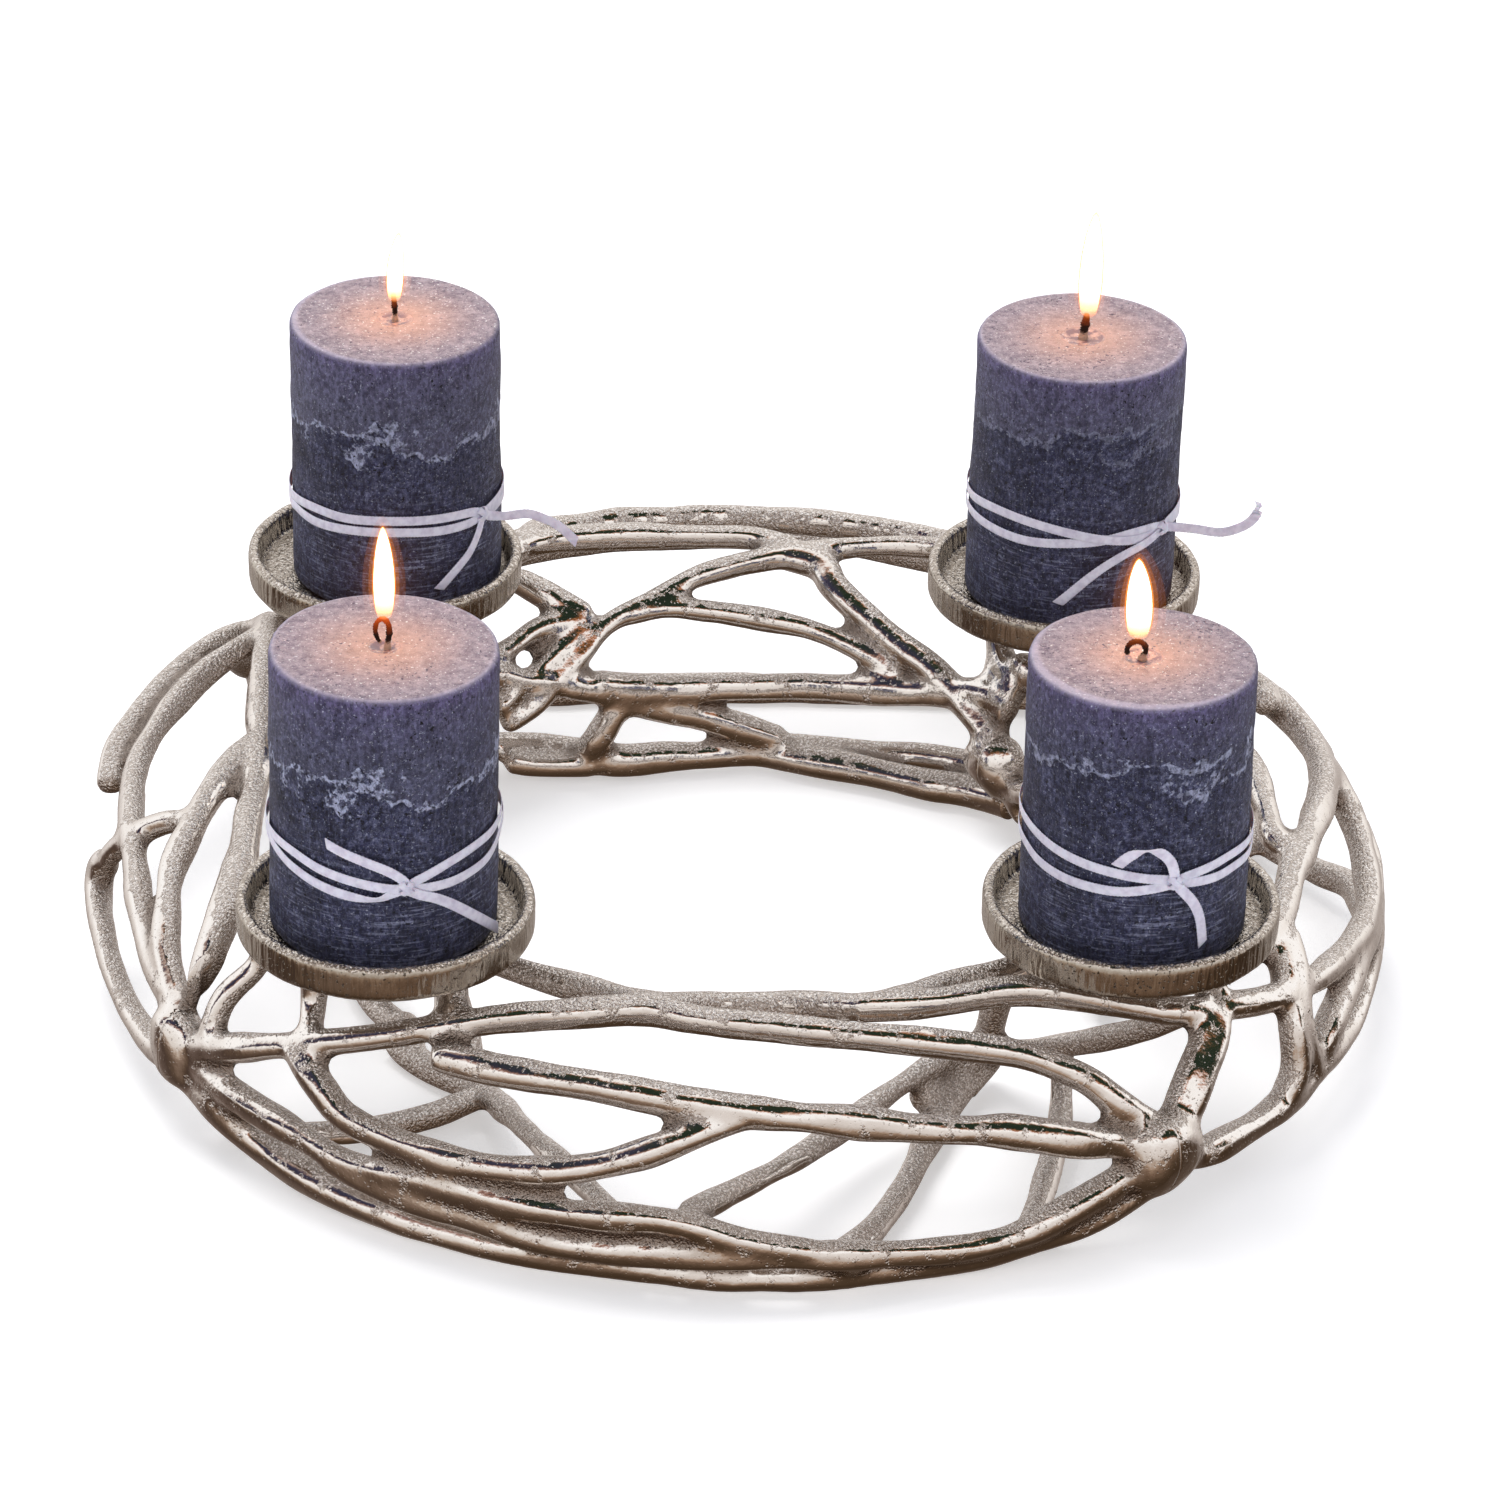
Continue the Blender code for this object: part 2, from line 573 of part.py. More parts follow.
def dish(name, look):
    """A round dish with an upright rim and a low boss under it. Its origin is at the height of the rim."""
    bore = DISH_RADIUS - RIM_THICKNESS
    outline = [
        (0, -DISH_HEIGHT - BOSS_HEIGHT),
        (BOSS_RADIUS, -DISH_HEIGHT - BOSS_HEIGHT),
        (BOSS_RADIUS, -DISH_HEIGHT),
        (DISH_RADIUS - DISH_CHAMFER, -DISH_HEIGHT),
        (DISH_RADIUS, -DISH_HEIGHT + DISH_CHAMFER),
        (DISH_RADIUS, 0),
        (bore, 0),
        (bore - WALL_DRAFT, -DISH_DEPTH),
        (0, -DISH_DEPTH),
    ]
    return turned(f"candle_dish_{name}", outline, look, DISH_PLACES[name])


def candle_axis(name):
    """The candle's axis in the dish, at the height of the rim."""
    x, y, rim = DISH_PLACES[name]
    shift_x, shift_y = CANDLE_SHIFTS[name]
    return Vector((x + shift_x, y + shift_y, rim))


def candle_top(name):
    """The height of the candle's top over the rim of its dish."""
    return CANDLE_ABOVE_RIM + CANDLE_RISES[name]


def candle(name, look):
    """A pillar candle, with a bore for its wick and a shallow pool round it."""
    foot = -DISH_DEPTH + GAP
    top = candle_top(name)
    bore = WICK_RADIUS + GAP
    outline = [
        (bore, foot),
        (CANDLE_RADIUS, foot),
        (CANDLE_RADIUS, top - CANDLE_EDGE),
        (CANDLE_RADIUS - CANDLE_EDGE, top),
        (POOL_RADIUS, top),
        (bore, top - POOL_DEPTH),
        (bore, foot),
    ]
    return turned(f"candle_{name}", outline, look, candle_axis(name))


def wick(name, look):
    """The wick, from the foot of the candle's bore to its burnt tip."""
    top = candle_axis(name) + Vector((0, 0, candle_top(name)))
    foot = Vector((0, 0, -candle_top(name) - DISH_DEPTH + 2 * GAP))
    tip = smooth_path([Vector(point) for point in WICK_TIPS[name]], 2 * WICK_RADIUS)
    shape = bmesh.new()
    add_tube(shape, [top + foot, top] + [top + point for point in tip], WICK_RADIUS, WICK_SIDES)
    return place(f"wick_{name}", shape, look)


def flame(name, look):
    """The flame over the wick, a drop that ends in a point."""
    sideways, base, tip, widest = FLAMES[name]
    outline = [(0, 0)]
    outline += [(widest * wide, (tip - base) * high) for high, wide in FLAME_OUTLINE]
    outline += [(0, tip - base)]
    centre = candle_axis(name) + Vector((sideways, 0, candle_top(name) + base))
    return turned(f"flame_{name}", outline, look, centre, FLAME_SIDES)


def ribbon_route(name):
    """The ribbon's points: its first tail, its climbing or falling turns and its last tail."""
    facts = RIBBONS[name]
    knot_bearing, knot_height = facts["knot"]
    turns = []
    for i in range(RIBBON_TURNS * TURN_POINTS + 1):
        round_it = i / TURN_POINTS
        climb = facts["climb"] * RIBBON_PITCH * (round_it - RIBBON_TURNS / 2)
        rise = facts["rise"] * (1 - math.cos(2 * math.pi * round_it)) / 2
        turns.append((knot_bearing + 360 * round_it, RIBBON_RADIUS, knot_height + climb + rise))
    axis = candle_axis(name)
    route = []
    for bearing, distance, height in facts["first tail"] + turns + facts["last tail"]:
        angle = math.radians(bearing)
        route.append(axis + Vector((distance * math.cos(angle), distance * math.sin(angle), height)))
    return route


def ribbon(name, look):
    """The ribbon tied round the candle, as a round cord of the ribbon's width."""
    path = smooth_path(ribbon_route(name), RIBBON_STEP)
    line = bpy.data.curves.new(f"ribbon_{name}", "CURVE")
    line.dimensions = "3D"
    line.bevel_depth = RIBBON_WIDTH / 2 * MM
    line.bevel_resolution = RIBBON_ROUNDING
    line.use_fill_caps = True
    spline = line.splines.new("POLY")
    spline.points.add(len(path) - 1)
    for knot, point in zip(spline.points, path):
        knot.co = (*(point * MM), 1.0)
    line.materials.append(look)
    made = bpy.data.objects.new(f"ribbon_{name}", line)
    bpy.context.collection.objects.link(made)
    return made


def main():
    for old in list(bpy.data.objects):
        bpy.data.objects.remove(old, do_unlink=True)
    bpy.context.scene.unit_settings.system = "METRIC"
    bpy.context.scene.unit_settings.scale_length = 1.0
    cast_metal = material("cast aluminium", (0.62, 0.58, 0.51), 0.3, metallic=1.0)
    wax = material("slate blue wax", (0.08, 0.08, 0.13), 0.55)
    satin = material("white satin", (0.80, 0.77, 0.86), 0.4)
    char = material("burnt cotton", (0.02, 0.015, 0.012), 0.9)
    fire = material("flame", (1.0, 0.62, 0.22), 0.5, glow=6.0)
    for section in SECTIONS:
        ring_section(section, cast_metal)
    for corner in DISH_PLACES:
        dish(corner, cast_metal)
        candle(corner, wax)
        wick(corner, char)
        flame(corner, fire)
        ribbon(corner, satin)


main()
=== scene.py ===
# Advent wreath: a cast ring of silver rods, four dishes, and a lit rustic candle tied with ribbon in each
import itertools
import math

import bmesh
import bpy
import numpy as np
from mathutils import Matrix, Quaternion, Vector


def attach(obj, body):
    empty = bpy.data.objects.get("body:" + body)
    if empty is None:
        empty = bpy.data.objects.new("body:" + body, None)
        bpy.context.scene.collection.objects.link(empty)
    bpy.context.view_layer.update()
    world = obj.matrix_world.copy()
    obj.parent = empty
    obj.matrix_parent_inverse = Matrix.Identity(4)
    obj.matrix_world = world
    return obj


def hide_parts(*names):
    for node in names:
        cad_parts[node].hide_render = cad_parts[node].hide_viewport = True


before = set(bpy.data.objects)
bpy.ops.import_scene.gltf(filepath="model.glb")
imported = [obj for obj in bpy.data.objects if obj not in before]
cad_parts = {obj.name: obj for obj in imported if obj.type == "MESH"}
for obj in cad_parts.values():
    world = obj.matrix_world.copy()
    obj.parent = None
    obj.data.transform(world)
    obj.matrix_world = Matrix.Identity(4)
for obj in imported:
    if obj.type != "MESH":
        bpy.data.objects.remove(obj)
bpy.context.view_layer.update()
mm = 0.001
corners = ["front_left", "front_right", "back_left", "back_right"]
print("frame loaded")

# The camera of the photograph: where it stands, what it looks at, and how far it leans, in degrees
cameraPlace = {
    "stands": (-0.1069, -1.8824, 1.1309),
    "looksAt": (0.0046, 0.0271, 0.0600),
    "lens": 159.35,
    "lean": 1.866,
}


def placeCamera():
    camera = bpy.data.cameras.new("camera")
    camera.lens = cameraPlace["lens"]
    holder = bpy.data.objects.new("camera", camera)
    bpy.context.collection.objects.link(holder)
    stands = Vector(cameraPlace["stands"])
    look = (Vector(cameraPlace["looksAt"]) - stands).to_track_quat("-Z", "Y")
    lean = Quaternion((0, 0, 1), math.radians(cameraPlace["lean"]))
    holder.rotation_mode = "QUATERNION"
    holder.rotation_quaternion = look @ lean
    holder.location = stands
    bpy.context.scene.camera = holder


placeCamera()
print("camera placed")


# Small helpers

def linear(hexColour):
    # sRGB hex to linear red, green, blue and alpha
    parts = [int(hexColour[i:i + 2], 16) / 255 for i in (1, 3, 5)]
    return [p / 12.92 if p <= 0.04045 else ((p + 0.055) / 1.055) ** 2.4 for p in parts] + [1.0]


noiseLattice = {
    "numbers": 4096,
    "strides": (1619, 3137, 6971),      # primes, which spread neighbouring cells over the numbers
    "shift": 500,                       # cells, so that none is counted below nought
}


def noise(points, size, seed):
    # value noise from -1 to 1: chance numbers on a lattice of that size, blended smoothly between its corners
    table = np.random.default_rng(seed).random(noiseLattice["numbers"]) * 2 - 1
    spot = np.asarray(points) / size + noiseLattice["shift"]
    cell = np.floor(spot).astype(np.int64)
    part = spot - cell
    part = part * part * (3 - 2 * part)
    total = np.zeros(spot.shape[:-1])
    for corner in itertools.product((0, 1), repeat=3):
        pick = np.sum((cell + corner) * noiseLattice["strides"], axis=-1) % noiseLattice["numbers"]
        total += table[pick] * np.prod(np.where(corner, part, 1 - part), axis=-1)
    return total


def noiseAlong(run, size, seed):
    # the same noise, read along a line
    return noise(np.stack([run, 0 * run, 0 * run], axis=1), size, seed)


def smoothStep(low, high, value):
    # 0 below low, 1 above high, and an even curve between them
    t = np.clip((value - low) / (high - low), 0, 1)
    return t * t * (3 - 2 * t)


def unit(vectors):
    return vectors / np.maximum(np.linalg.norm(vectors, axis=-1, keepdims=True), 1e-9)


def squareTo(along, vectors):
    # the part of each vector that lies across the path, v - a (v . a), at length 1
    return unit(vectors - along * np.sum(vectors * along, axis=1, keepdims=True))


def turned(first, second, angle):
    # two directions across a path, both turned about it by the angle
    return first * np.cos(angle) + second * np.sin(angle), second * np.cos(angle) - first * np.sin(angle)


def squarish(values, power):
    # |v| ^ power with the sign of v, which squares a circle off
    return np.sign(values) * np.abs(values) ** power


def fullTurn(count):
    # that many even angles round a circle
    return np.linspace(0, 2 * math.pi, count, endpoint=False)


def roundedEnd(distance, radius):
    # share of its radius that a rod has at that distance from its round end, sqrt(1 - (1 - d / r)^2)
    tip = 0.02      # it ends in a small flat, not in a point
    return np.sqrt(1 - (1 - np.clip(distance / radius, tip, 1)) ** 2)


def evenPath(points, step):
    # Catmull-Rom curve through the points, read at even steps along it; columns past the third go along
    # with the first three
    readings = 24       # from one point to the next
    p = np.asarray(points, float)
    p = np.vstack([2 * p[0] - p[1], p, 2 * p[-1] - p[-2]])
    t = np.linspace(0, 1, readings, endpoint=False)[:, None]
    a, b, c, d = (p[i:len(p) - 3 + i, None] for i in range(4))
    curve = (2 * b + (c - a) * t + (2 * a - 5 * b + 4 * c - d) * t**2 + (3 * b - a - 3 * c + d) * t**3) / 2
    curve = np.vstack([curve.reshape(-1, p.shape[1]), p[-2]])
    run = np.concatenate([[0], np.cumsum(np.linalg.norm(np.diff(curve[:, :3], axis=0), axis=1))])
    even = np.linspace(0, run[-1], max(3, round(run[-1] / step) + 1))
    return np.stack([np.interp(even, run, column) for column in curve.T], axis=1), even


def gridFaces(rows, columns, first, looped):
    # quads of a tube of that many rings and points in a ring, which meets itself or has a face on each end
    ring = np.arange(rows * columns).reshape(rows, columns) + first
    turned = np.roll(ring, -1, axis=1)
    quads = np.stack([ring, turned, np.roll(turned, -1, axis=0), np.roll(ring, -1, axis=0)], axis=-1)
    if looped:
        return quads.reshape(-1, 4).tolist()
    return quads[:-1].reshape(-1, 4).tolist() + [ring[0, ::-1].tolist(), ring[-1].tolist()]


def tubesMesh(name, tubes, looped=False):
    # one mesh of several closed tubes, each a grid of rings in millimetres
    verts, faces, count = [], [], 0
    for tube in tubes:
        faces += gridFaces(tube.shape[0], tube.shape[1], count, looped)
        verts.append(tube.reshape(-1, 3))
        count += tube.shape[0] * tube.shape[1]
    mesh = bpy.data.meshes.new(name)
    mesh.from_pydata((np.concatenate(verts) * mm).tolist(), [], faces)
    mesh.update()
    return mesh


def pointsOf(mesh):
    # the mesh's points in millimetres
    flat = np.empty(len(mesh.vertices) * 3)
    mesh.vertices.foreach_get("co", flat)
    return flat.reshape(-1, 3) / mm


def setPoints(mesh, points):
    mesh.vertices.foreach_set("co", (points * mm).ravel())
    mesh.update()


def normalsOf(mesh):
    flat = np.empty(len(mesh.vertices) * 3)
    mesh.vertex_normals.foreach_get("vector", flat)
    return flat.reshape(-1, 3)


def edgesOf(mesh):
    flat = np.empty(len(mesh.edges) * 2, dtype=np.int32)
    mesh.edges.foreach_get("vertices", flat)
    return flat.reshape(-1, 2)


def neighbourMean(values, edges):
    # the mean over each point's neighbours
    count = np.bincount(edges.ravel(), minlength=len(values)).astype(float)
    total = np.stack([
        np.bincount(edges[:, 0], column[edges[:, 1]], len(values))
        + np.bincount(edges[:, 1], column[edges[:, 0]], len(values))
        for column in values.T
    ], axis=1)
    return total / np.maximum(count, 1)[:, None]


def paint(mesh, name, values):
    # one number for each point, which a material reads by its name
    layer = mesh.attributes.new(name, "FLOAT", "POINT")
    layer.data.foreach_set("value", np.ascontiguousarray(values, np.float32))


def smoothShaded(mesh):
    mesh.polygons.foreach_set("use_smooth", np.ones(len(mesh.polygons), bool))


def facedOutwards(mesh):
    # merges doubles, then turns every face outwards
    apart = 0.002 * mm
    work = bmesh.new()
    work.from_mesh(mesh)
    bmesh.ops.remove_doubles(work, verts=work.verts, dist=apart)
    bmesh.ops.recalc_face_normals(work, faces=work.faces)
    work.to_mesh(mesh)
    work.free()
    mesh.update()


def piece(name, mesh, material, slot, *nodes):
    # a finished piece, riding on the wreath in place of its CAD nodes
    made = bpy.data.objects.new(name, mesh)
    bpy.context.collection.objects.link(made)
    mesh.materials.clear()
    mesh.materials.append(material)
    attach(made, "root")
    if nodes:
        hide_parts(*nodes)
    return made


def addNode(tree, kind, inputs=None, stops=None, **settings):
    # adds a node: inputs are numbers, colours or other nodes' sockets, stops a ramp's (position, hex colour)
    node = tree.nodes.new("ShaderNode" + kind)
    for name, value in settings.items():
        setattr(node, name, value)
    for place, value in (inputs or {}).items():
        if isinstance(value, bpy.types.NodeSocket):
            tree.links.new(value, node.inputs[place])
        else:
            node.inputs[place].default_value = value
    for i, (position, colour) in enumerate(stops or []):
        band = node.color_ramp.elements
        stop = band[i] if i < 2 else band.new(position)
        stop.position = position
        stop.color = linear(colour)
    return node


def newMaterial(name):
    # a material, its node tree, its shader, and a place in millimetres for patterns
    made = bpy.data.materials.new(name)
    made.use_nodes = True
    tree = made.node_tree
    objectPlace = addNode(tree, "TexCoord").outputs["Object"]
    place = addNode(tree, "VectorMath", {0: objectPlace, "Scale": 1 / mm}, operation="SCALE")
    return made, tree, tree.nodes["Principled BSDF"], place.outputs[0]


# Ribbons: each goes twice round its candle from a knot at the front, where its two cut tails stand out

ribbon = {
    "width": 3.4,
    "thickness": 0.34,
    "step": 0.55,
    "points": 10,           # round its section
    "blunt": 0.8,           # 1 is a lens section, less squares off its edges
    "picot": 0.07,          # how far the woven edge goes in and out
    "slant": 0.55,          # of its cut ends
    "lift": 0.45,           # over the candle's side, besides each point's clearance
    "onEdge": (3, 9),       # clearances between which a tail turns from flat to standing on edge
    "pathEvery": 6,
}
knotShape = {
    "half": 2.3,            # of its height
    "depth": 1.25,
    "strap": 1.35,          # half width of a strap
    "straps": [(38, 1.0), (-42, 1.08)],     # tilt in degrees and size of each
    "swell": 0.16,
    "pinch": 0.25,
    "rings": 36,
    "points": 12,
}
candle = {
    "radius": 35.0,
    "top": 84.6,            # over the dish's rim
    "foot": -8.2,
    "edge": 0.9,
    "footEdge": 0.8,
    "pole": 0.3,            # radius of the faces that close it in the middle
    "sides": 190,
    "step": 1.25,
    "swell": 0.22,          # how uneven the side is
    "swellSizes": (13, 4),
    "pits": 0.45,           # their depth
    "pitSize": 1.9,
    "pitPatches": 15,       # size of the patches that have pits
    "poolDepth": 0.8,
    "taper": 0.5,           # how much wider it is at its foot
    "frostStep": 0.25,      # how far the side is sunk under the frosted line
    "frostWander": 5,       # how far the line goes up and down
    "frostWanderSize": 11,
}
# Each candle: its shift from the dish's middle, how far its top leans from its foot, its extra height, its
# pool's radius, the height and strength of its frosted line, and how much paler the wax is above the line
candles = {
    "front_left": {
        "shift": (-0.6, 0.7), "lean": (0, 0), "taller": 1.7, "pool": 4.2,
        "frost": 53.5, "frosting": 1.0, "haze": 0.35,
    },
    "front_right": {
        "shift": (0.3, -0.8), "lean": (-1.7, -2.0), "taller": 0, "pool": 5.4,
        "frost": 60.0, "frosting": 0.8, "haze": 0.2,
    },
    "back_left": {
        "shift": (4.2, 0.3), "lean": (-1.1, 0), "taller": 0.4, "pool": 5.2,
        "frost": 54.0, "frosting": 0.9, "haze": 0.55,
    },
    "back_right": {
        "shift": (1.5, 0), "lean": (0.3, 0), "taller": 0.8, "pool": 6.8,
        "frost": 62.0, "frosting": 0.35, "haze": 0.5,
    },
}
# Each ribbon's route: bearing in degrees, going on past 360 for each turn, clearance off the candle, height
# over the dish's rim, and its twist in degrees where it has one
ribbonRoutes = {
    "front_left": [
        (-118, 1.2, 35.5), (-109, 1.4, 33.6), (-99, 1.3, 31.4), (-88, 1.0, 28.3), (-81, 1.2, 25.2, 10),
        (-78.5, 1.2, 22.8), (-73, 0.6, 24.2), (-57, 0.3, 27.5), (-40, 0.3, 29.4), (-24, 0.3, 29.8),
        (-8, 0.3, 30.6), (20, 0.3, 30.2), (50, 0.3, 29.4), (80, 0.3, 28.6), (110, 0.3, 28), (140, 0.3, 27.6),
        (190, 0.3, 27.5), (219, 0.3, 27.5), (238, 0.3, 25.4), (256, 0.3, 23.6), (272, 0.5, 22), (278, 0.9, 21.9),
        (281.5, 1.2, 22), (287, 0.6, 21.2), (303, 0.3, 20.7), (317, 0.3, 21.2), (330, 0.35, 22), (338, 0.6, 23.8),
        (344, 0.8, 26.2), (352, 0.8, 28.2), (370, 0.7, 28.2), (400, 0.3, 27.6), (450, 0.3, 26.6), (500, 0.3, 25.8),
        (550, 0.3, 25.2), (579, 0.3, 22.3), (595, 0.3, 20.3), (612, 0.3, 18.6), (627, 0.3, 18.1, 35),
        (635, 0.4, 20.4), (640, 0.9, 21.6), (643, 1.2, 21), (648, 1, 19.2), (658, 0.7, 16.1), (671, 1, 10.1),
        (696, 2.5, -3.5),
    ],
    "front_right": [
        (-104, 4.5, 32.5), (-98, 5.2, 37), (-91, 5, 38.8, 50), (-85, 4.2, 37.5), (-80, 3, 33.5), (-77.5, 2, 28.9),
        (-76.5, 1.2, 25.4), (-70, 0.6, 26.3), (-57, 0.3, 27.3), (-42, 0.3, 28.2), (-21, 0.3, 27.4), (-8, 0.3, 27.7),
        (20, 0.3, 28.4), (50, 0.3, 29.2), (80, 0.3, 30), (110, 0.3, 30.8), (140, 0.3, 31.5), (170, 0.3, 32.1),
        (191, 0.3, 32.2), (204, 0.3, 31.5), (222, 0.3, 29.9), (238, 0.3, 28.7), (254, 0.3, 27.6), (268, 0.3, 26.5),
        (279, 0.7, 26), (283.5, 1.2, 25.2), (291, 0.6, 23.9), (307, 0.3, 22.9), (322, 0.3, 23.2), (342, 0.3, 22.4),
        (352, 0.3, 24.3), (380, 0.3, 24.6), (430, 0.3, 24.6), (480, 0.3, 24.6), (530, 0.3, 24.6), (553, 0.3, 24.1),
        (569, 0.3, 22.3), (586, 0.3, 21.3), (602, 0.3, 21.1), (617, 0.3, 21.3), (630, 0.3, 22.5), (640, 0.7, 23.9),
        (644, 1.2, 24.6), (646, 1.4, 22.9), (653, 1.6, 17.1), (657, 1.8, 10.8), (659, 2, 1.6),
    ],
    "back_left": [
        (-68, 1.4, 1.5), (-59, 1.3, 6.6), (-49, 1.2, 11.9), (-43, 1.1, 16.9), (-40, 1.1, 21), (-38.5, 1.2, 23.6),
        (-33, 0.7, 24.4), (-14, 0.3, 25), (10, 0.3, 25), (50, 0.3, 24.6), (100, 0.3, 24.2), (150, 0.3, 23.9),
        (190, 0.3, 23.9), (220, 0.3, 26.2), (242, 0.3, 26.6), (266, 0.3, 27.6), (292, 0.3, 27.2), (312, 0.3, 26.2),
        (320, 1, 24.8), (327, 0.7, 23.2), (346, 0.4, 22.4), (370, 0.3, 21.6), (420, 0.3, 21.2), (480, 0.3, 20.8),
        (550, 0.3, 20.6), (560, 0.3, 21.2), (583, 0.3, 21.3), (608, 0.3, 22.7), (631, 0.3, 23.4), (654, 0.3, 22.6),
        (672, 0.3, 22.3), (679, 0.9, 23.2), (681.5, 1.2, 23.8), (688.7, 1.4, 21.4), (692.7, 5.4, 21.1),
        (696.3, 11.8, 22.1), (698.4, 16.5, 20.6), (700.2, 22, 17.6), (701.7, 27.5, 11.9),
    ],
    "back_right": [
        (-101, 1.4, 3.6), (-84, 1.4, 14.4), (-69, 1.2, 20.1), (-51, 1.1, 23.3), (-41, 1.2, 25.4), (-33, 0.7, 26.2),
        (-20, 0.3, 24.8), (-7, 0.3, 23.6), (20, 0.3, 23), (50, 0.3, 23), (80, 0.3, 23.2), (110, 0.3, 23.5),
        (140, 0.3, 23.8), (170, 0.3, 24), (192, 0.3, 24), (215, 0.3, 24.2), (239, 0.3, 24.3), (261, 0.3, 25.6),
        (280, 0.3, 26.5), (297, 0.3, 27.7), (312, 0.5, 27.4), (319, 1.2, 26.6), (326, 0.7, 27), (340, 0.3, 27),
        (353, 0.3, 26.8), (380, 0.3, 27), (430, 0.3, 27.5), (470, 0.3, 28), (530, 0.3, 29.2), (550, 0.3, 29.5),
        (578, 0.3, 31.7), (601, 0.3, 31.4), (621, 0.5, 29.8), (640, 0.75, 27.3), (658, 0.6, 25.2), (672, 0.6, 25),
        (680, 1.3, 25.6), (684.4, 3, 25.4), (688.8, 9.8, 25.2), (692.5, 18.2, 24.7), (694.6, 25.2, 27.9),
        (695.5, 28.6, 32), (695.5, 28.9, 35.8),
    ],
}
knotPlaces = {
    "front_left": (-79, 1.2, 22.2),
    "front_right": (-76.4, 1.3, 25.1),
    "back_left": (-39, 1.2, 24.1),
    "back_right": (-40.7, 1.2, 25.9),
}


def candleAxis(name):
    x, y, rim = dishPlaces[name]
    shift = candles[name]["shift"]
    return np.array([x + shift[0], y + shift[1], rim])


def candleTop(name):
    # the middle of a candle's top, where its wick stands
    facts = candles[name]
    return candleAxis(name) + (*facts["lean"], candle["top"] + facts["taller"])


def leant(name, local):
    # moves points round a candle with it: it widens to its foot, and its top leans, rises and tilts
    facts = candles[name]
    share = (local[:, 2:] - candle["foot"]) / (candle["top"] - candle["foot"])
    lean = np.array([*facts["lean"], facts["taller"]]) * share
    lean[:, 2] += facts["lean"][1] * local[:, 1] / candle["top"] * share[:, 0]
    wider = 1 + candle["taper"] / candle["radius"] * (1 - share)
    return local * np.concatenate([wider, wider, np.ones_like(wider)], axis=1) + lean


def roundCandle(name, route):
    # wraps (distance along the side, clearance, height) round the candle: angle = distance / radius
    angle = route[:, 0] / candle["radius"]
    out = candle["radius"] + ribbon["lift"] + route[:, 1]
    local = np.stack([out * np.cos(angle), out * np.sin(angle), route[:, 2]], axis=1)
    return leant(name, local) + candleAxis(name)


def stripRings(centre, normal, twist):
    # a lens section, x = w cos a and y = t sin a, carried along the path and turned about it by the twist
    along = unit(np.gradient(centre, axis=0))
    normal = squareTo(along, normal)
    normal, across = turned(normal, np.cross(along, normal), np.radians(twist)[:, None])
    angle = fullTurn(ribbon["points"])
    rows = len(centre)
    half = ribbon["width"] / 2 + ribbon["picot"] * np.where(np.arange(rows) % 2, 1, -1)
    run = np.arange(rows) * ribbon["step"]
    nearEnd = np.clip(1 - np.minimum(run, run[-1] - run) / (2 * ribbon["width"]), 0, 1)
    w = half[:, None] * squarish(np.cos(angle), ribbon["blunt"])
    t = ribbon["thickness"] / 2 * np.sin(angle)
    cut = ribbon["slant"] * nearEnd[:, None] * w
    return (
        centre[:, None] + w[..., None] * across[:, None] + t[None, :, None] * normal[:, None]
        + cut[..., None] * along[:, None]
    )


def paintRun(mesh, rows, columns):
    # for the weave: millimetres along the strip, and the place across it, from -1 to 1
    paint(mesh, "run", np.repeat(np.arange(rows) * ribbon["step"], columns))
    paint(mesh, "side", np.cos(np.tile(fullTurn(columns), rows)))


def ribbonStrip(name, material):
    # the strip follows its route; it lies flat on the candle, and a free tail stands on edge
    route = np.array([(*point, 0)[:4] for point in ribbonRoutes[name]], float)
    route[:, 0] = np.radians(route[:, 0]) * candle["radius"]
    flat, _ = evenPath(route, ribbon["step"])
    centre = roundCandle(name, flat)
    radial = unit((centre - candleAxis(name)) * (1, 1, 0))
    along = unit(np.gradient(centre, axis=0))
    edgewise = unit(np.cross(along, (0, 0, 1.0)))
    edgewise *= np.sign(np.sum(edgewise * radial, axis=1, keepdims=True) + 1e-6)
    free = smoothStep(*ribbon["onEdge"], flat[:, 1])[:, None]
    rings = stripRings(centre, radial * (1 - free) + edgewise * free, flat[:, 3])
    mesh = tubesMesh(f"ribbon_{name}", [rings])
    paintRun(mesh, *rings.shape[:2])
    smoothShaded(mesh)
    made = piece(f"satin_ribbon_{name}", mesh, material, "ribbon", f"ribbon_{name}")
    return made, centre


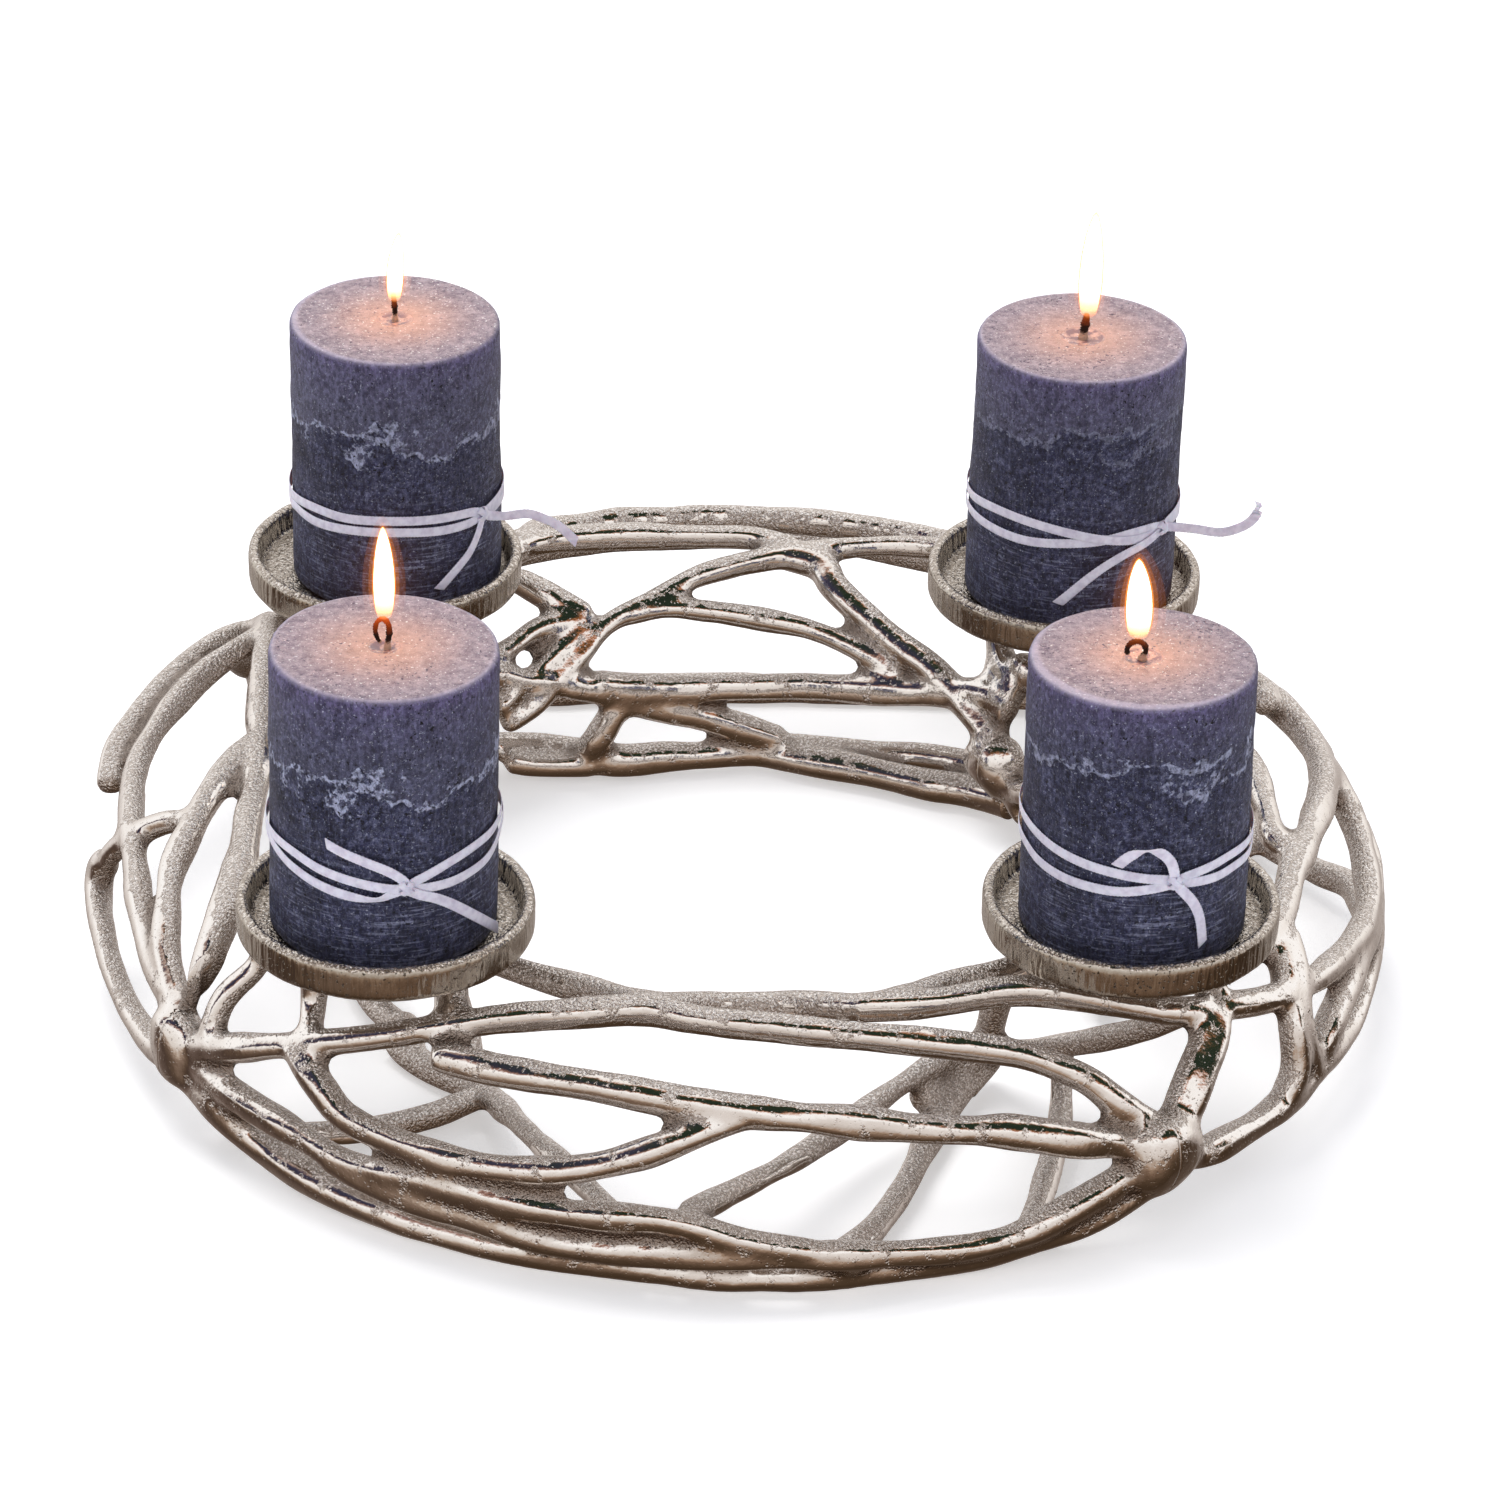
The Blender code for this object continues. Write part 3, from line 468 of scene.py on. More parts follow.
def knot(name, material):
    # two straps drawn tight round the strands: each an ellipse, h cos t along the strap and d sin t outwards
    bearing, clearance, height = knotPlaces[name]
    centre = roundCandle(name, np.array([(math.radians(bearing) * candle["radius"], clearance, height)]))[0]
    outward = unit((centre - candleAxis(name)) * (1, 1, 0))
    level = np.cross((0, 0, 1.0), outward)
    turn = fullTurn(knotShape["rings"])[:, None, None]
    angle = fullTurn(knotShape["points"])[None, :, None]
    swell = 1 + knotShape["swell"] * np.cos(angle)
    pinch = 1 - knotShape["pinch"] * np.abs(np.sin(turn))
    straps = []
    for tilt, share in knotShape["straps"]:
        lean = math.radians(tilt)
        up = math.cos(lean) * np.array((0, 0, 1.0)) + math.sin(lean) * level
        side = np.cross(outward, up)
        high, deep = knotShape["half"] * share, knotShape["depth"] * share
        ring = up * high * np.cos(turn) * swell + outward * deep * np.sin(turn) * swell
        straps.append(centre + ring + side * knotShape["strap"] * np.sin(angle) * pinch)
    mesh = tubesMesh(f"knot_{name}", straps, looped=True)
    facedOutwards(mesh)
    paint(mesh, "run", pointsOf(mesh)[:, 2])
    paint(mesh, "side", np.zeros(len(mesh.vertices)))
    smoothShaded(mesh)
    return piece(f"ribbon_knot_{name}", mesh, material, "ribbon")


def tieRibbon(name, material):
    strip, centre = ribbonStrip(name, material)
    tied = knot(name, material)


# The ring's form, in millimetres: rods lie on a tube with a flattened underside, carried round a circle
ringForm = {
    "middle": 164.0,
    "halfWidth": 45.0,
    "waist": 25.0,
    "rise": 45.0,
    "drop": 20.0,
    "footSquareness": 0.2,
}
# Where the dishes sit: centre and rim height
dishPlaces = {
    "front_left": (-114.8, -114.4, 88.1),
    "front_right": (116.4, -113.9, 89.2),
    "back_left": (-116.2, 116.0, 88.9),
    "back_right": (114.6, 112.2, 85.8),
}
# Bearings where the ring's four castings meet
seamBearings = {"left": -149.0, "front": -54.0, "right": 40.0, "back": 138.0}

# Rods: half thickness, then points as (bearing, tilt) on the form, or (bearing, distance, height) off it
stout, full, slim = 5.2, 4.5, 3.8
onFloor = 4.2
dishUnderside = -11.75
postBite = 1.5
underFrontLeft, underFrontRight, underBackLeft, underBackRight = (
    place[2] + dishUnderside + postBite for place in dishPlaces.values()
)

frontRods = {
    "outer foot": (
        stout,
        [(-156, 0), (-149, -12), (-143, -22), (-137, -52), (-127, 203, 6), (-112, 200, onFloor),
         (-92, 200, onFloor), (-76, 200, onFloor), (-66, -64), (-59, -38), (-51, -6)],
    ),
    "waist ripple": (
        full,
        [(-154, 6), (-143, 2), (-132, 0), (-127, -6), (-119, 2), (-108, 2),
         (-98, 4), (-92, -8), (-86, -22), (-81, -50)],
    ),
    "low ripple": (
        full,
        [(-130, -8), (-121, -18), (-114, -22), (-107, -32), (-98, -26), (-90, -24),
         (-82, -29), (-74, -39), (-68, -37), (-63, -18), (-54, 2)],
    ),
    "polished wave": (
        full,
        [(-136, 36), (-131, 24), (-127, 16), (-119, 14), (-112, 16), (-106, 21),
         (-101, 29), (-96, 39), (-90, 51)],
    ),
    "free-ended bar": (
        stout,
        [(-122, 51), (-114, 53), (-105, 54), (-97, 51), (-90, 48), (-83, 44),
         (-76, 38), (-69, 32), (-62, 21), (-52, 4)],
    ),
    "crest bar": (
        full,
        [(-154, 2), (-149, 7), (-144, 15), (-138, 28), (-130, 45), (-124, 59), (-117, 75),
         (-110, 88), (-103, 100), (-97, 95), (-88, 90), (-80, 82), (-72, 72),
         (-65, 60), (-60, 44), (-57, 28), (-52, 8)],
    ),
    "inner crest bar": (
        full,
        [(-156, 118), (-140, 128), (-128, 124), (-117, 123), (-110, 119), (-103, 106), (-97, 118),
         (-90, 124), (-84, 120), (-78, 106), (-72, 108), (-65, 117), (-57, 113), (-49, 104)],
    ),
    "crest fork": (
        full,
        [(-80, 106), (-71, 99), (-62, 94), (-57, 83), (-53, 70), (-48, 56)],
    ),
    "left post": (slim, [(-134, 40), (-136, 190, 61), (-136, 190, underFrontLeft)]),
    "middle post": (stout, [(-121, 66), (-123, 173.5, 69), (-123, 173.5, underFrontLeft)]),
    "knuckle post": (slim, [(-145, 12), (-145, 34), (-144, 190, 62), (-144, 190, underFrontLeft)]),
    "inner post": (full, [(-140, 128), (-138, 141, 66), (-138, 141, underFrontLeft)]),
    "inner foot": (full, [(-156, 246), (-146, 130, onFloor), (-137, 129, onFloor), (-130, 129, 6)]),
    "floor tie": (
        slim,
        [(-144, -20), (-145, 201, 9), (-141, 193, 6), (-136, 175, 5.5), (-132, 152, 5.5), (-129, 128, 7)],
    ),
    "rising tie": (slim, [(-130, 129, 6), (-114, 163, 18), (-102, 206, 25)]),
    "looping tie": (
        full,
        [(-45, 113, 10), (-53, 118, 9), (-60, 126, 8), (-66, 138, 7), (-73, 160, 6), (-79, 182, 6),
         (-84, 199, 7)],
    ),
    "web": (full, [(-49, 114, 14), (-54, 117, 14), (-60, 121, 13), (-66, 128, 13)]),
    "twig": (
        slim,
        [(-45, 113, 16), (-57, 118, 20), (-68, 127, 21), (-79, 143, 19), (-88, 170, 23), (-97, 206, 28)],
    ),
    "corner tie": (
        slim,
        [(-45.5, 142, 15), (-51, 155, 7), (-58, 173, 6), (-63, 190, 7), (-66, 200, 8)],
    ),
    "left stay": (full, [(-134, 249), (-137, 215), (-141, 180), (-143, 150), (-140, 128)]),
}
rightRods = {
    "outer foot": (
        full,
        [(-60, -8), (-54, 1), (-49, -13), (-42, -18), (-35, -20), (-31, -12), (-27, -14),
         (-22, -18), (-16, -3), (-9, 2), (-2, 10), (5, 20)],
    ),
    "far foot": (
        full,
        [(46, -40), (38, -46), (31, 196, 8), (23, 190, 8), (16, 192, 8), (10, 200, 10), (5, -34), (0, -29),
         (-5, -18), (-11, 2)],
    ),
    "waist fork": (full, [(-31, -4), (-28, 8), (-23, 13), (-17, 14), (-11, 12), (-5, 8)]),
    "shoulder bar": (
        full,
        [(12, 44), (4, 38), (-1, 27), (-8, 19), (-14, 19), (-22, 25), (-30, 31), (-37, 39), (-43, 48)],
    ),
    "polished loop": (
        stout,
        [(16, 64), (19, 51), (14, 40), (6, 46), (-2, 54), (-11, 61), (-19, 63), (-28, 57), (-36, 60),
         (-42, 66)],
    ),
    "dark bar": (
        full,
        [(8, 122), (6, 104), (2, 88), (-9, 81), (-15, 74), (-15, 58)],
    ),
    "first upright": (full, [(-28, 55), (-30.5, 41), (-33, 22), (-32.5, 6), (-31, -8)]),
    "second upright": (full, [(-28, 56), (-32, 42), (-34.5, 22), (-35, 4), (-37, -16)]),
    "corner upright": (
        full,
        [(-54, 2), (-51, 14), (-48, 26), (-44, 40), (-42, 190, 62), (-42, 190, underFrontRight)],
    ),
    "corner strand": (slim, [(-53, 12), (-49, 31), (-44, 46)]),
    "crest fork": (full, [(-60, 88), (-57, 83), (-53, 70), (-48, 56), (-43, 47)]),
    "inner crest bar": (
        full,
        [(-60, 114), (-57, 113), (-49, 104), (-40, 108), (-30, 122), (-14, 118), (0, 126), (12, 120),
         (24, 126), (46, 132)],
    ),
    "inner post": (full, [(-40, 108), (-41, 148, 72), (-41, 148, underFrontRight)]),
    "back post": (full, [(26, 42), (32, 50), (36, 186, 66), (36, 186, underBackRight)]),
    "inner foot": (full, [(-23, 246), (-10, 248), (0, 246), (20, 248), (38, 130, 7), (46, 129, 8)]),
    "hook": (full, [(-47, 114, 10), (-49, 118, 26), (-49, 124, 44), (-46, 136, 60), (-41, 150, 69)]),
    "low fork": (full, [(-45, 113, 10), (-53, 118, 8), (-60, 125, 7)]),
    "upper fork": (slim, [(-45, 113, 16), (-57, 118, 20), (-62, 122, 20)]),
    "corner rise": (slim, [(-47, 114, 12), (-46, 139, 24), (-45, 168, 41), (-44, 190, 57)]),
    "corner tie": (
        slim,
        [(-45.5, 141, 26), (-45.5, 142, 15), (-51, 155, 7), (-58, 173, 6)],
    ),
    "inner stay": (full, [(-18, 248), (-14, 215), (-19, 180), (-17, 150), (-14, 118)]),
    "second inner stay": (slim, [(10, 247), (4, 215), (7, 180), (4, 150), (8, 122)]),
    "far inner stay": (full, [(46, 176), (36, 188), (29, 176), (26, 150), (24, 126)]),
    "far foot stay": (slim, [(33, 247), (35, 215), (36, 188)]),
    "far shoulder": (
        full,
        [(6, 44), (14, 37), (24, 41), (32, 28), (40, 12), (46, 6)],
    ),
    "far floor tie": (slim, [(22, 201, 8), (16, 178, 7), (8, 150, 7), (3, 128, 8)]),
}
backRods = {
    "flat band": (
        full,
        [(114, 86), (110, 66), (102, 60), (91, 60), (80, 61), (70, 62), (62, 66), (56, 52)],
    ),
    "crest bar": (
        full,
        [(123, 100), (115, 88), (110, 86), (102, 90), (93, 94), (86, 95), (80, 102)],
    ),
    "long strand": (
        slim,
        [(130, 171), (123, 166), (118, 158), (113.5, 150), (107.8, 138.5), (101.5, 131.5), (94, 120),
         (86, 111), (78, 102), (70, 90), (62, 78), (56, 60)],
    ),
    "crest drop": (full, [(119, 104), (115, 122), (110, 136)]),
    "polished swoop": (
        stout,
        [(83, 106), (77, 110), (74.3, 121), (69, 132), (62.2, 142), (55.2, 149), (48.2, 158), (41.5, 166),
         (35, 174)],
    ),
    "upper inner strand": (
        slim,
        [(106, 136), (99, 134), (93, 136), (85, 139), (77, 142), (71, 146), (65, 151), (60, 157)],
    ),
    "waist bar": (
        stout,
        [(113, 163), (106, 168), (94, 170.5), (77, 167.5), (62, 162.5), (52, 156), (45, 150), (36, 152)],
    ),
    "falling strand": (full, [(118, 160), (111, 167), (103, 177), (94, 188), (86, 205), (79, 221)]),
    "short stay": (full, [(106.5, 170), (109.3, 184), (111.3, 208), (112, 126, 9)]),
    "inner foot": (
        stout,
        [(146, 182), (138, 178), (129, 140, 14), (122, 140, 10), (115, 132, 8), (108, 120, 7), (100, 118, 7),
         (92, 118, 7), (84, 121, 7), (76, 118, 7), (66, 118, 7), (55, 120, 7), (49, 125, 7), (42, 128, 8),
         (34, 130, 9)],
    ),
    "foot band": (
        full,
        [(80, 122, 9), (68, 128, 8), (58.5, 134, 9), (51.5, 136, 11), (46, 136, 14), (40, 133, 17),
         (34, 130, 19)],
    ),
    "tongue": (full, [(124, 136, 8), (120, 130, 6), (115, 124, 6), (110, 121, 6)]),
    "left strand": (full, [(146, 148), (138, 146), (130, 147), (124, 155), (118, 160)]),
    "left branch": (slim, [(110, 136), (115, 144), (120, 151), (125, 157), (131, 163)]),
    "left upper strand": (slim, [(146, 140), (136, 142), (125, 139), (118, 134), (110, 136)]),
    "left crest": (full, [(146, 112), (132, 110), (123, 100), (118, 104)]),
    "left post": (full, [(130, 110), (131, 148, 72), (131, 148, underBackLeft)]),
    "corner upright": (
        full,
        [(35, 172), (38, 157), (41.5, 142), (46, 132), (48, 137, 66), (48, 137, underBackRight)],
    ),
    "corner strand": (slim, [(42, 158), (45, 146), (47, 130)]),
    "outer foot": (
        stout,
        [(32, -40), (44, -52), (55, 199, 6), (66, 184, onFloor), (78, 174, onFloor), (92, 171, onFloor),
         (104, 174, onFloor), (115, 186, onFloor), (122, 199, 6), (129, -46),
         (134, -20), (139, 4), (146, 8)],
    ),
    "outer shoulder": (
        full,
        [(36, 4), (44, 10), (52, 26), (57, 46), (62, 66)],
    ),
    "outer waist": (
        full,
        [(34, 4), (44, 8), (54, 18), (64, 26), (74, 206, 46), (84, 209, 45), (94, 209, 45), (104, 207, 46),
         (114, 27), (124, 18), (132, 8), (146, 8)],
    ),
    "outer left stay": (full, [(112, 84), (118, 58), (124, 34), (128, 8), (126, -34), (124, -66)]),
    "outer right stay": (slim, [(70, 62), (66, 40), (64, 14), (61, -26), (58, 196, 6)]),
    "back left post": (full, [(124, 36), (130, 50), (134, 190, 66), (134, 190, underBackLeft)]),
    "back right post": (full, [(51, 20), (48, 40), (47, 190, 62), (47, 190, underBackRight)]),
}
leftRods = {
    "outer crest": (
        full,
        [(138, 8), (141, 200, 46), (146, 197, 58), (152, 202, 58), (157, 205, 55), (162, 208, 51),
         (167, 210, 47), (172, 209, 42)],
    ),
    "shoulder bar": (
        full,
        [(141, 72), (151, 60), (156, 49), (162, 43), (169, 39), (176, 40), (184, 41),
         (191, 39), (197, 33), (202, 26), (207, 20), (214, 14)],
    ),
    "long bar": (
        stout,
        [(132, 10), (138, 24), (144, 50), (152, 75), (162, 90), (174, 99), (184, 98),
         (193, 91), (202, 78), (208, 58), (211, 38), (214, 22)],
    ),
    "dark cross": (
        full,
        [(174, 99), (180, 90), (185.5, 81), (191, 70), (196.5, 54), (201, 43), (205, 31), (211, 16)],
    ),
    "crossing stay": (slim, [(191, 70), (188.5, 58), (186.5, 42), (184.5, 26), (182.5, 9)]),
    "far foot": (full, [(130, 8), (136, 6), (141, 12), (145, 26), (148, 36), (152, 46)]),
    "outer foot": (
        full,
        [(184, 22), (182, 9), (185, 2), (189, 1), (194, -7), (200, -18), (206, -19), (211, -10), (218, 4)],
    ),
    "inner crest": (
        full,
        [(132, 112), (142, 114), (156, 128), (170, 122), (186, 130), (202, 122), (218, 126)],
    ),
    "left post": (full, [(144, 114), (140, 148, 72), (140, 148, underBackLeft)]),
    "inner foot": (
        full,
        [(132, 186), (140, 192), (146, 220), (152, 244), (166, 249), (184, 246), (200, 249),
         (218, 246)],
    ),
    "inner waist": (
        slim,
        [(132, 150), (144, 158), (156, 176), (170, 184), (184, 174), (198, 186), (218, 178)],
    ),
    "inner stay": (full, [(162, 248), (166, 215), (170, 184), (168, 150), (170, 122)]),
    "second inner stay": (slim, [(196, 248), (200, 215), (198, 186), (200, 150), (202, 122)]),
    "corner stay": (full, [(146, 226), (143, 200), (142, 170), (140, 140), (142, 114)]),
    "top stay": (full, [(174, 98), (172, 110), (170, 122)]),
}
# Each casting: its rods, and the seams where it starts and ends
sections = {
    "front": (frontRods, "left", "front"),
    "right": (rightRods, "front", "right"),
    "back": (backRods, "right", "back"),
    "left": (leftRods, "back", "left"),
}
# Where the lengths meet: lumps of metal on the form, with their size against the usual one
knuckles = {
    "left": [((-149, 4), 1.0), ((-149, 246), 0.6), ((-149, 122), 0.6)],
    "front": [((-54, 5), 1.1), ((-54, 117, 12), 0.6), ((-54, 110), 0.6)],
    "right": [((40, 6), 1.0), ((40, 178), 0.9), ((40, 134), 0.6)],
    "back": [((138, 8), 1.0), ((138, 176), 0.9), ((138, 112), 0.6)],
}

# How the metal was shaped: what a user would change about the castings
casting = {
    "step": 2.0,            # between the rings of a rod
    "sides": 24,
    "width": 0.98,          # of a rod along the form, against its half thickness
    "depth": 0.98,          # of a rod out of the form
    "squareness": 0.84,     # 1 is round, 0 is square
    "evening": 9,           # rings over which the way that a rod faces is averaged
    "lean": 18.0,           # degrees that a rod's flats turn to and fro
    "leanGain": 1.6,        # makes up for noise that seldom comes near 1
    "leanOver": 45,         # millimetres of a rod in which its flats turn
    "waver": 0.13,          # share by which a rod swells and thins
    "waverOver": 17,
    "fillet": 1.2,          # radius in the corners between rods
    "voxel": 1.3,
    "smoothing": 3,
    "dents": 0.2,           # depth of the hammered unevenness
    "dentSizes": (9, 3.1),
    "fineDents": 0.2,       # share of the finer ones
}
knuckleShape = {
    "radius": 13.2,
    "rows": 15,
    "sides": 20,
    "cap": 0.995,           # share of its radius at which the ball is closed flat
    "uneven": 0.16,
    "unevenSize": 0.8,      # against its radius
    "flattened": 0.28,
}
# Where a belt dressed the metal, as (where it starts, where it is full)
beltReach = {
    "rounds": 6,                # of averaging how far a point lies in a corner
    "corner": (0.01, 0.09),     # millimetres below its neighbours
    "facing": (0.26, 0.5),      # how squarely a face looks away from the ring's middle, or towards it
    "fromAbove": 0.1,           # how much less so where it looks up
    "unsteady": 0.3,
    "unsteadySize": 24,
    "side": (-0.5, 0.2),        # how far to that side of the form the rod lies
    "crest": 0.3,               # how much more so on the form's top
}


def onForm(points):
    # distance = middle + halfWidth * cos(tilt), height = waist + rise * sin(tilt); squared off underneath
    made = []
    for point in points:
        bearing = math.radians(point[0])
        distance, height = point[1:] if len(point) == 3 else (None, None)
        if distance is None:
            out, up = math.cos(math.radians(point[1])), math.sin(math.radians(point[1]))
            if up < 0:
                out = math.copysign(abs(out) ** ringForm["footSquareness"], out)
            distance = ringForm["middle"] + ringForm["halfWidth"] * out
            height = ringForm["waist"] + (ringForm["rise"] if up > 0 else ringForm["drop"]) * up
        made.append((distance * math.cos(bearing), distance * math.sin(bearing), height))
    return made


def outOfForm(points):
    # direction from the circle inside the form to each point
    core = points * (1, 1, 0)
    core = unit(core) * ringForm["middle"] + (0, 0, ringForm["waist"])
    return unit(points - core)


def rodTube(radius, points, seed):
    # a squarish profile, x = |cos|^s and y = |sin|^s with their signs, carried along the rod's curve; it
    # swells, thins and turns a little on the way, and closes to a round end
    path, run = evenPath(onForm(points), casting["step"])
    along = unit(np.gradient(path, axis=0))
    before = casting["evening"] // 2
    padded = np.pad(outOfForm(path), ((before, before), (0, 0)), mode="edge")
    window = np.ones(casting["evening"]) / casting["evening"]
    out = squareTo(along, np.stack([np.convolve(column, window, "valid") for column in padded.T], axis=1))
    lean = np.radians(casting["lean"]) * casting["leanGain"] * noiseAlong(run, casting["leanOver"], seed)
    out, across = turned(out, np.cross(along, out), lean[:, None])
    swell = 1 + casting["waver"] * noiseAlong(run, casting["waverOver"], seed + 1)
    size = radius * swell * roundedEnd(np.minimum(run, run[-1] - run), radius)
    turn = fullTurn(casting["sides"])
    x = squarish(np.cos(turn), casting["squareness"])
    y = squarish(np.sin(turn), casting["squareness"])
    wide = (size * casting["width"] + casting["fillet"])[:, None, None]
    deep = (size * casting["depth"] + casting["fillet"])[:, None, None]
    return path[:, None] + wide * x[None, :, None] * across[:, None] + deep * y[None, :, None] * out[:, None]


def lump(centre, size, seed):
    # a knuckle: a ball, flattened towards the ring's axis, with a lazily uneven surface
    height = np.linspace(-knuckleShape["cap"], knuckleShape["cap"], knuckleShape["rows"])
    profile = np.stack([np.sqrt(1 - height**2), height], axis=1)
    ball = turnedGrid(profile, knuckleShape["sides"], (0, 0, 0))
    uneven = 1 + knuckleShape["uneven"] * noise(ball, knuckleShape["unevenSize"], seed)
    ball = ball * uneven[..., None] * (size + casting["fillet"])
    outward = unit(centre * (1, 1, 0))
    ball -= knuckleShape["flattened"] * (ball @ outward)[..., None] * outward
    return ball + centre


def voxelled(mesh, size):
    # the skin of everything in the mesh, as one surface of even faces
    holder = bpy.data.objects.new("work", mesh)
    bpy.context.collection.objects.link(holder)
    skin = holder.modifiers.new("skin", "REMESH")
    skin.mode = "VOXEL"
    skin.voxel_size = size * mm
    made = bpy.data.meshes.new_from_object(holder.evaluated_get(bpy.context.evaluated_depsgraph_get()))
    bpy.data.objects.remove(holder)
    return made


def cutAtSeam(work, bearing, keepAfter):
    # cuts the casting through the ring's axis at that bearing and closes the cut
    angle = math.radians(bearing)
    side = Vector((-math.sin(angle), math.cos(angle), 0)) * (1 if keepAfter else -1)
    everything = work.verts[:] + work.edges[:] + work.faces[:]
    bmesh.ops.bisect_plane(work, geom=everything, plane_co=(0, 0, 0), plane_no=side, clear_inner=True)
    openEdges = [edge for edge in work.edges if edge.is_boundary]
    bmesh.ops.holes_fill(work, edges=openEdges, sides=0)


def shapeMetal(mesh):
    # shrinks the fat rods back, which leaves fillets between them, then smooths and dents the skin, and
    # keeps it off the table
    edges, normals = edgesOf(mesh), normalsOf(mesh)
    points = pointsOf(mesh) - casting["fillet"] * normals
    for _ in range(casting["smoothing"]):
        points = (points + neighbourMean(points, edges)) / 2
    broad, fine = casting["dentSizes"]
    dents = casting["dents"] * (noise(points, broad, 3) + casting["fineDents"] * noise(points, fine, 4))
    points += dents[:, None] * normals
    points[:, 2] = np.maximum(points[:, 2], 0)
    setPoints(mesh, points)


def finishAttributes(mesh):
    # "polish" is where a belt could reach, and the hollow attribute is how far a point lies in a corner; the
    # metal's material paints hollows darker, as painted shade
    points, edges, normals = pointsOf(mesh), edgesOf(mesh), normalsOf(mesh)
    dip = np.sum((neighbourMean(points, edges) - points) * normals, axis=1)[:, None]
    for _ in range(beltReach["rounds"]):
        dip = (dip + neighbourMean(dip, edges)) / 2
    shadedHollow = smoothStep(*beltReach["corner"], dip[:, 0])
    outwards, shell = unit(points * (1, 1, 0)), outOfForm(points)
    facing = np.sum(normals * outwards, axis=1)
    away = np.sum(shell * outwards, axis=1)
    unsteady = beltReach["unsteady"] * noise(points, beltReach["unsteadySize"], 8)
    dressed = np.zeros(len(points))
    for way in (1, -1):
        face = way * facing - beltReach["fromAbove"] * normals[:, 2] + unsteady
        reach = way * away + beltReach["crest"] * shell[:, 2]
        both = smoothStep(*beltReach["facing"], face) * smoothStep(*beltReach["side"], reach)
        dressed = np.maximum(dressed, both)
    paint(mesh, "polish", dressed * (1 - shadedHollow))
    paint(mesh, "shadedHollow", shadedHollow)


def castSection(name, material):
    # its rods and half of each knuckle at its ends, as one skin that is cut off at both seams
    rods, first, last = sections[name]
    tubes = [rodTube(radius, points, 10 * i) for i, (radius, points) in enumerate(rods.values())]
    for seam in (first, last):
        for i, (point, size) in enumerate(knuckles[seam]):
            centre = np.array(onForm([point])[0])
            tubes.append(lump(centre, knuckleShape["radius"] * size, 5 * i + len(seam)))
    mesh = voxelled(tubesMesh(f"ring_{name}", tubes), casting["voxel"])
    shapeMetal(mesh)
    finishAttributes(mesh)
    work = bmesh.new()
    work.from_mesh(mesh)
    cutAtSeam(work, seamBearings[first], True)
    cutAtSeam(work, seamBearings[last], False)
    loose = [vert for vert in work.verts if not vert.link_faces]
    bmesh.ops.delete(work, geom=loose, context="VERTS")
    work.to_mesh(mesh)
    work.free()
    smoothShaded(mesh)
    piece(f"cast_ring_{name}", mesh, material, "cast_metal", f"ring_section_{name}")
    print(f"ring section {name}: {len(mesh.polygons)} faces")


# Dishes, candles, wicks and flames

def roundedProfile(outline, step, passes):
    # the outline's points (distance, height) at even steps, its corners eased by averaging, its two ends kept
    outline = np.asarray(outline, float)
    run = np.concatenate([[0], np.cumsum(np.linalg.norm(np.diff(outline, axis=0), axis=1))])
    even = np.linspace(0, run[-1], round(run[-1] / step) + 1)
    profile = np.stack([np.interp(even, run, column) for column in outline.T], axis=1)
    for _ in range(passes):
        profile[1:-1] = (profile[:-2] + 2 * profile[1:-1] + profile[2:]) / 4
    return profile


def turnedGrid(profile, sides, centre):
    # the profile carried round a vertical axis: x = r cos a, y = r sin a, z = h
    turn = fullTurn(sides)
    r, h = profile[:, 0, None], profile[:, 1, None]
    grid = np.stack([r * np.cos(turn), r * np.sin(turn), np.broadcast_to(h, (len(profile), sides))], axis=-1)
    return grid + np.asarray(centre)


dish = {
    "radius": 46.15,
    "height": 11.75,
    "rimThickness": 3.6,
    "draft": 0.5,
    "depth": 8.5,
    "bossRadius": 13.0,
    "bossHeight": 1.0,
    "pole": 0.3,            # radius of the faces that close it in the middle
    "sides": 130,
    "step": 1.25,
    "unevenness": 0.22,
    "unevenSizes": (8, 2.6),
    "wall": 0.35,           # share of the unevenness that its wall has
    "polish": (0.75, 0.35), # how far up or down a face may look, from none to full
    # the dark band round the floor's corner is painted shade
    "dark": 0.55,           # how dark the corner round its floor is
    "shadeWidth": 3,
    "shadeHeight": 1.2,
}


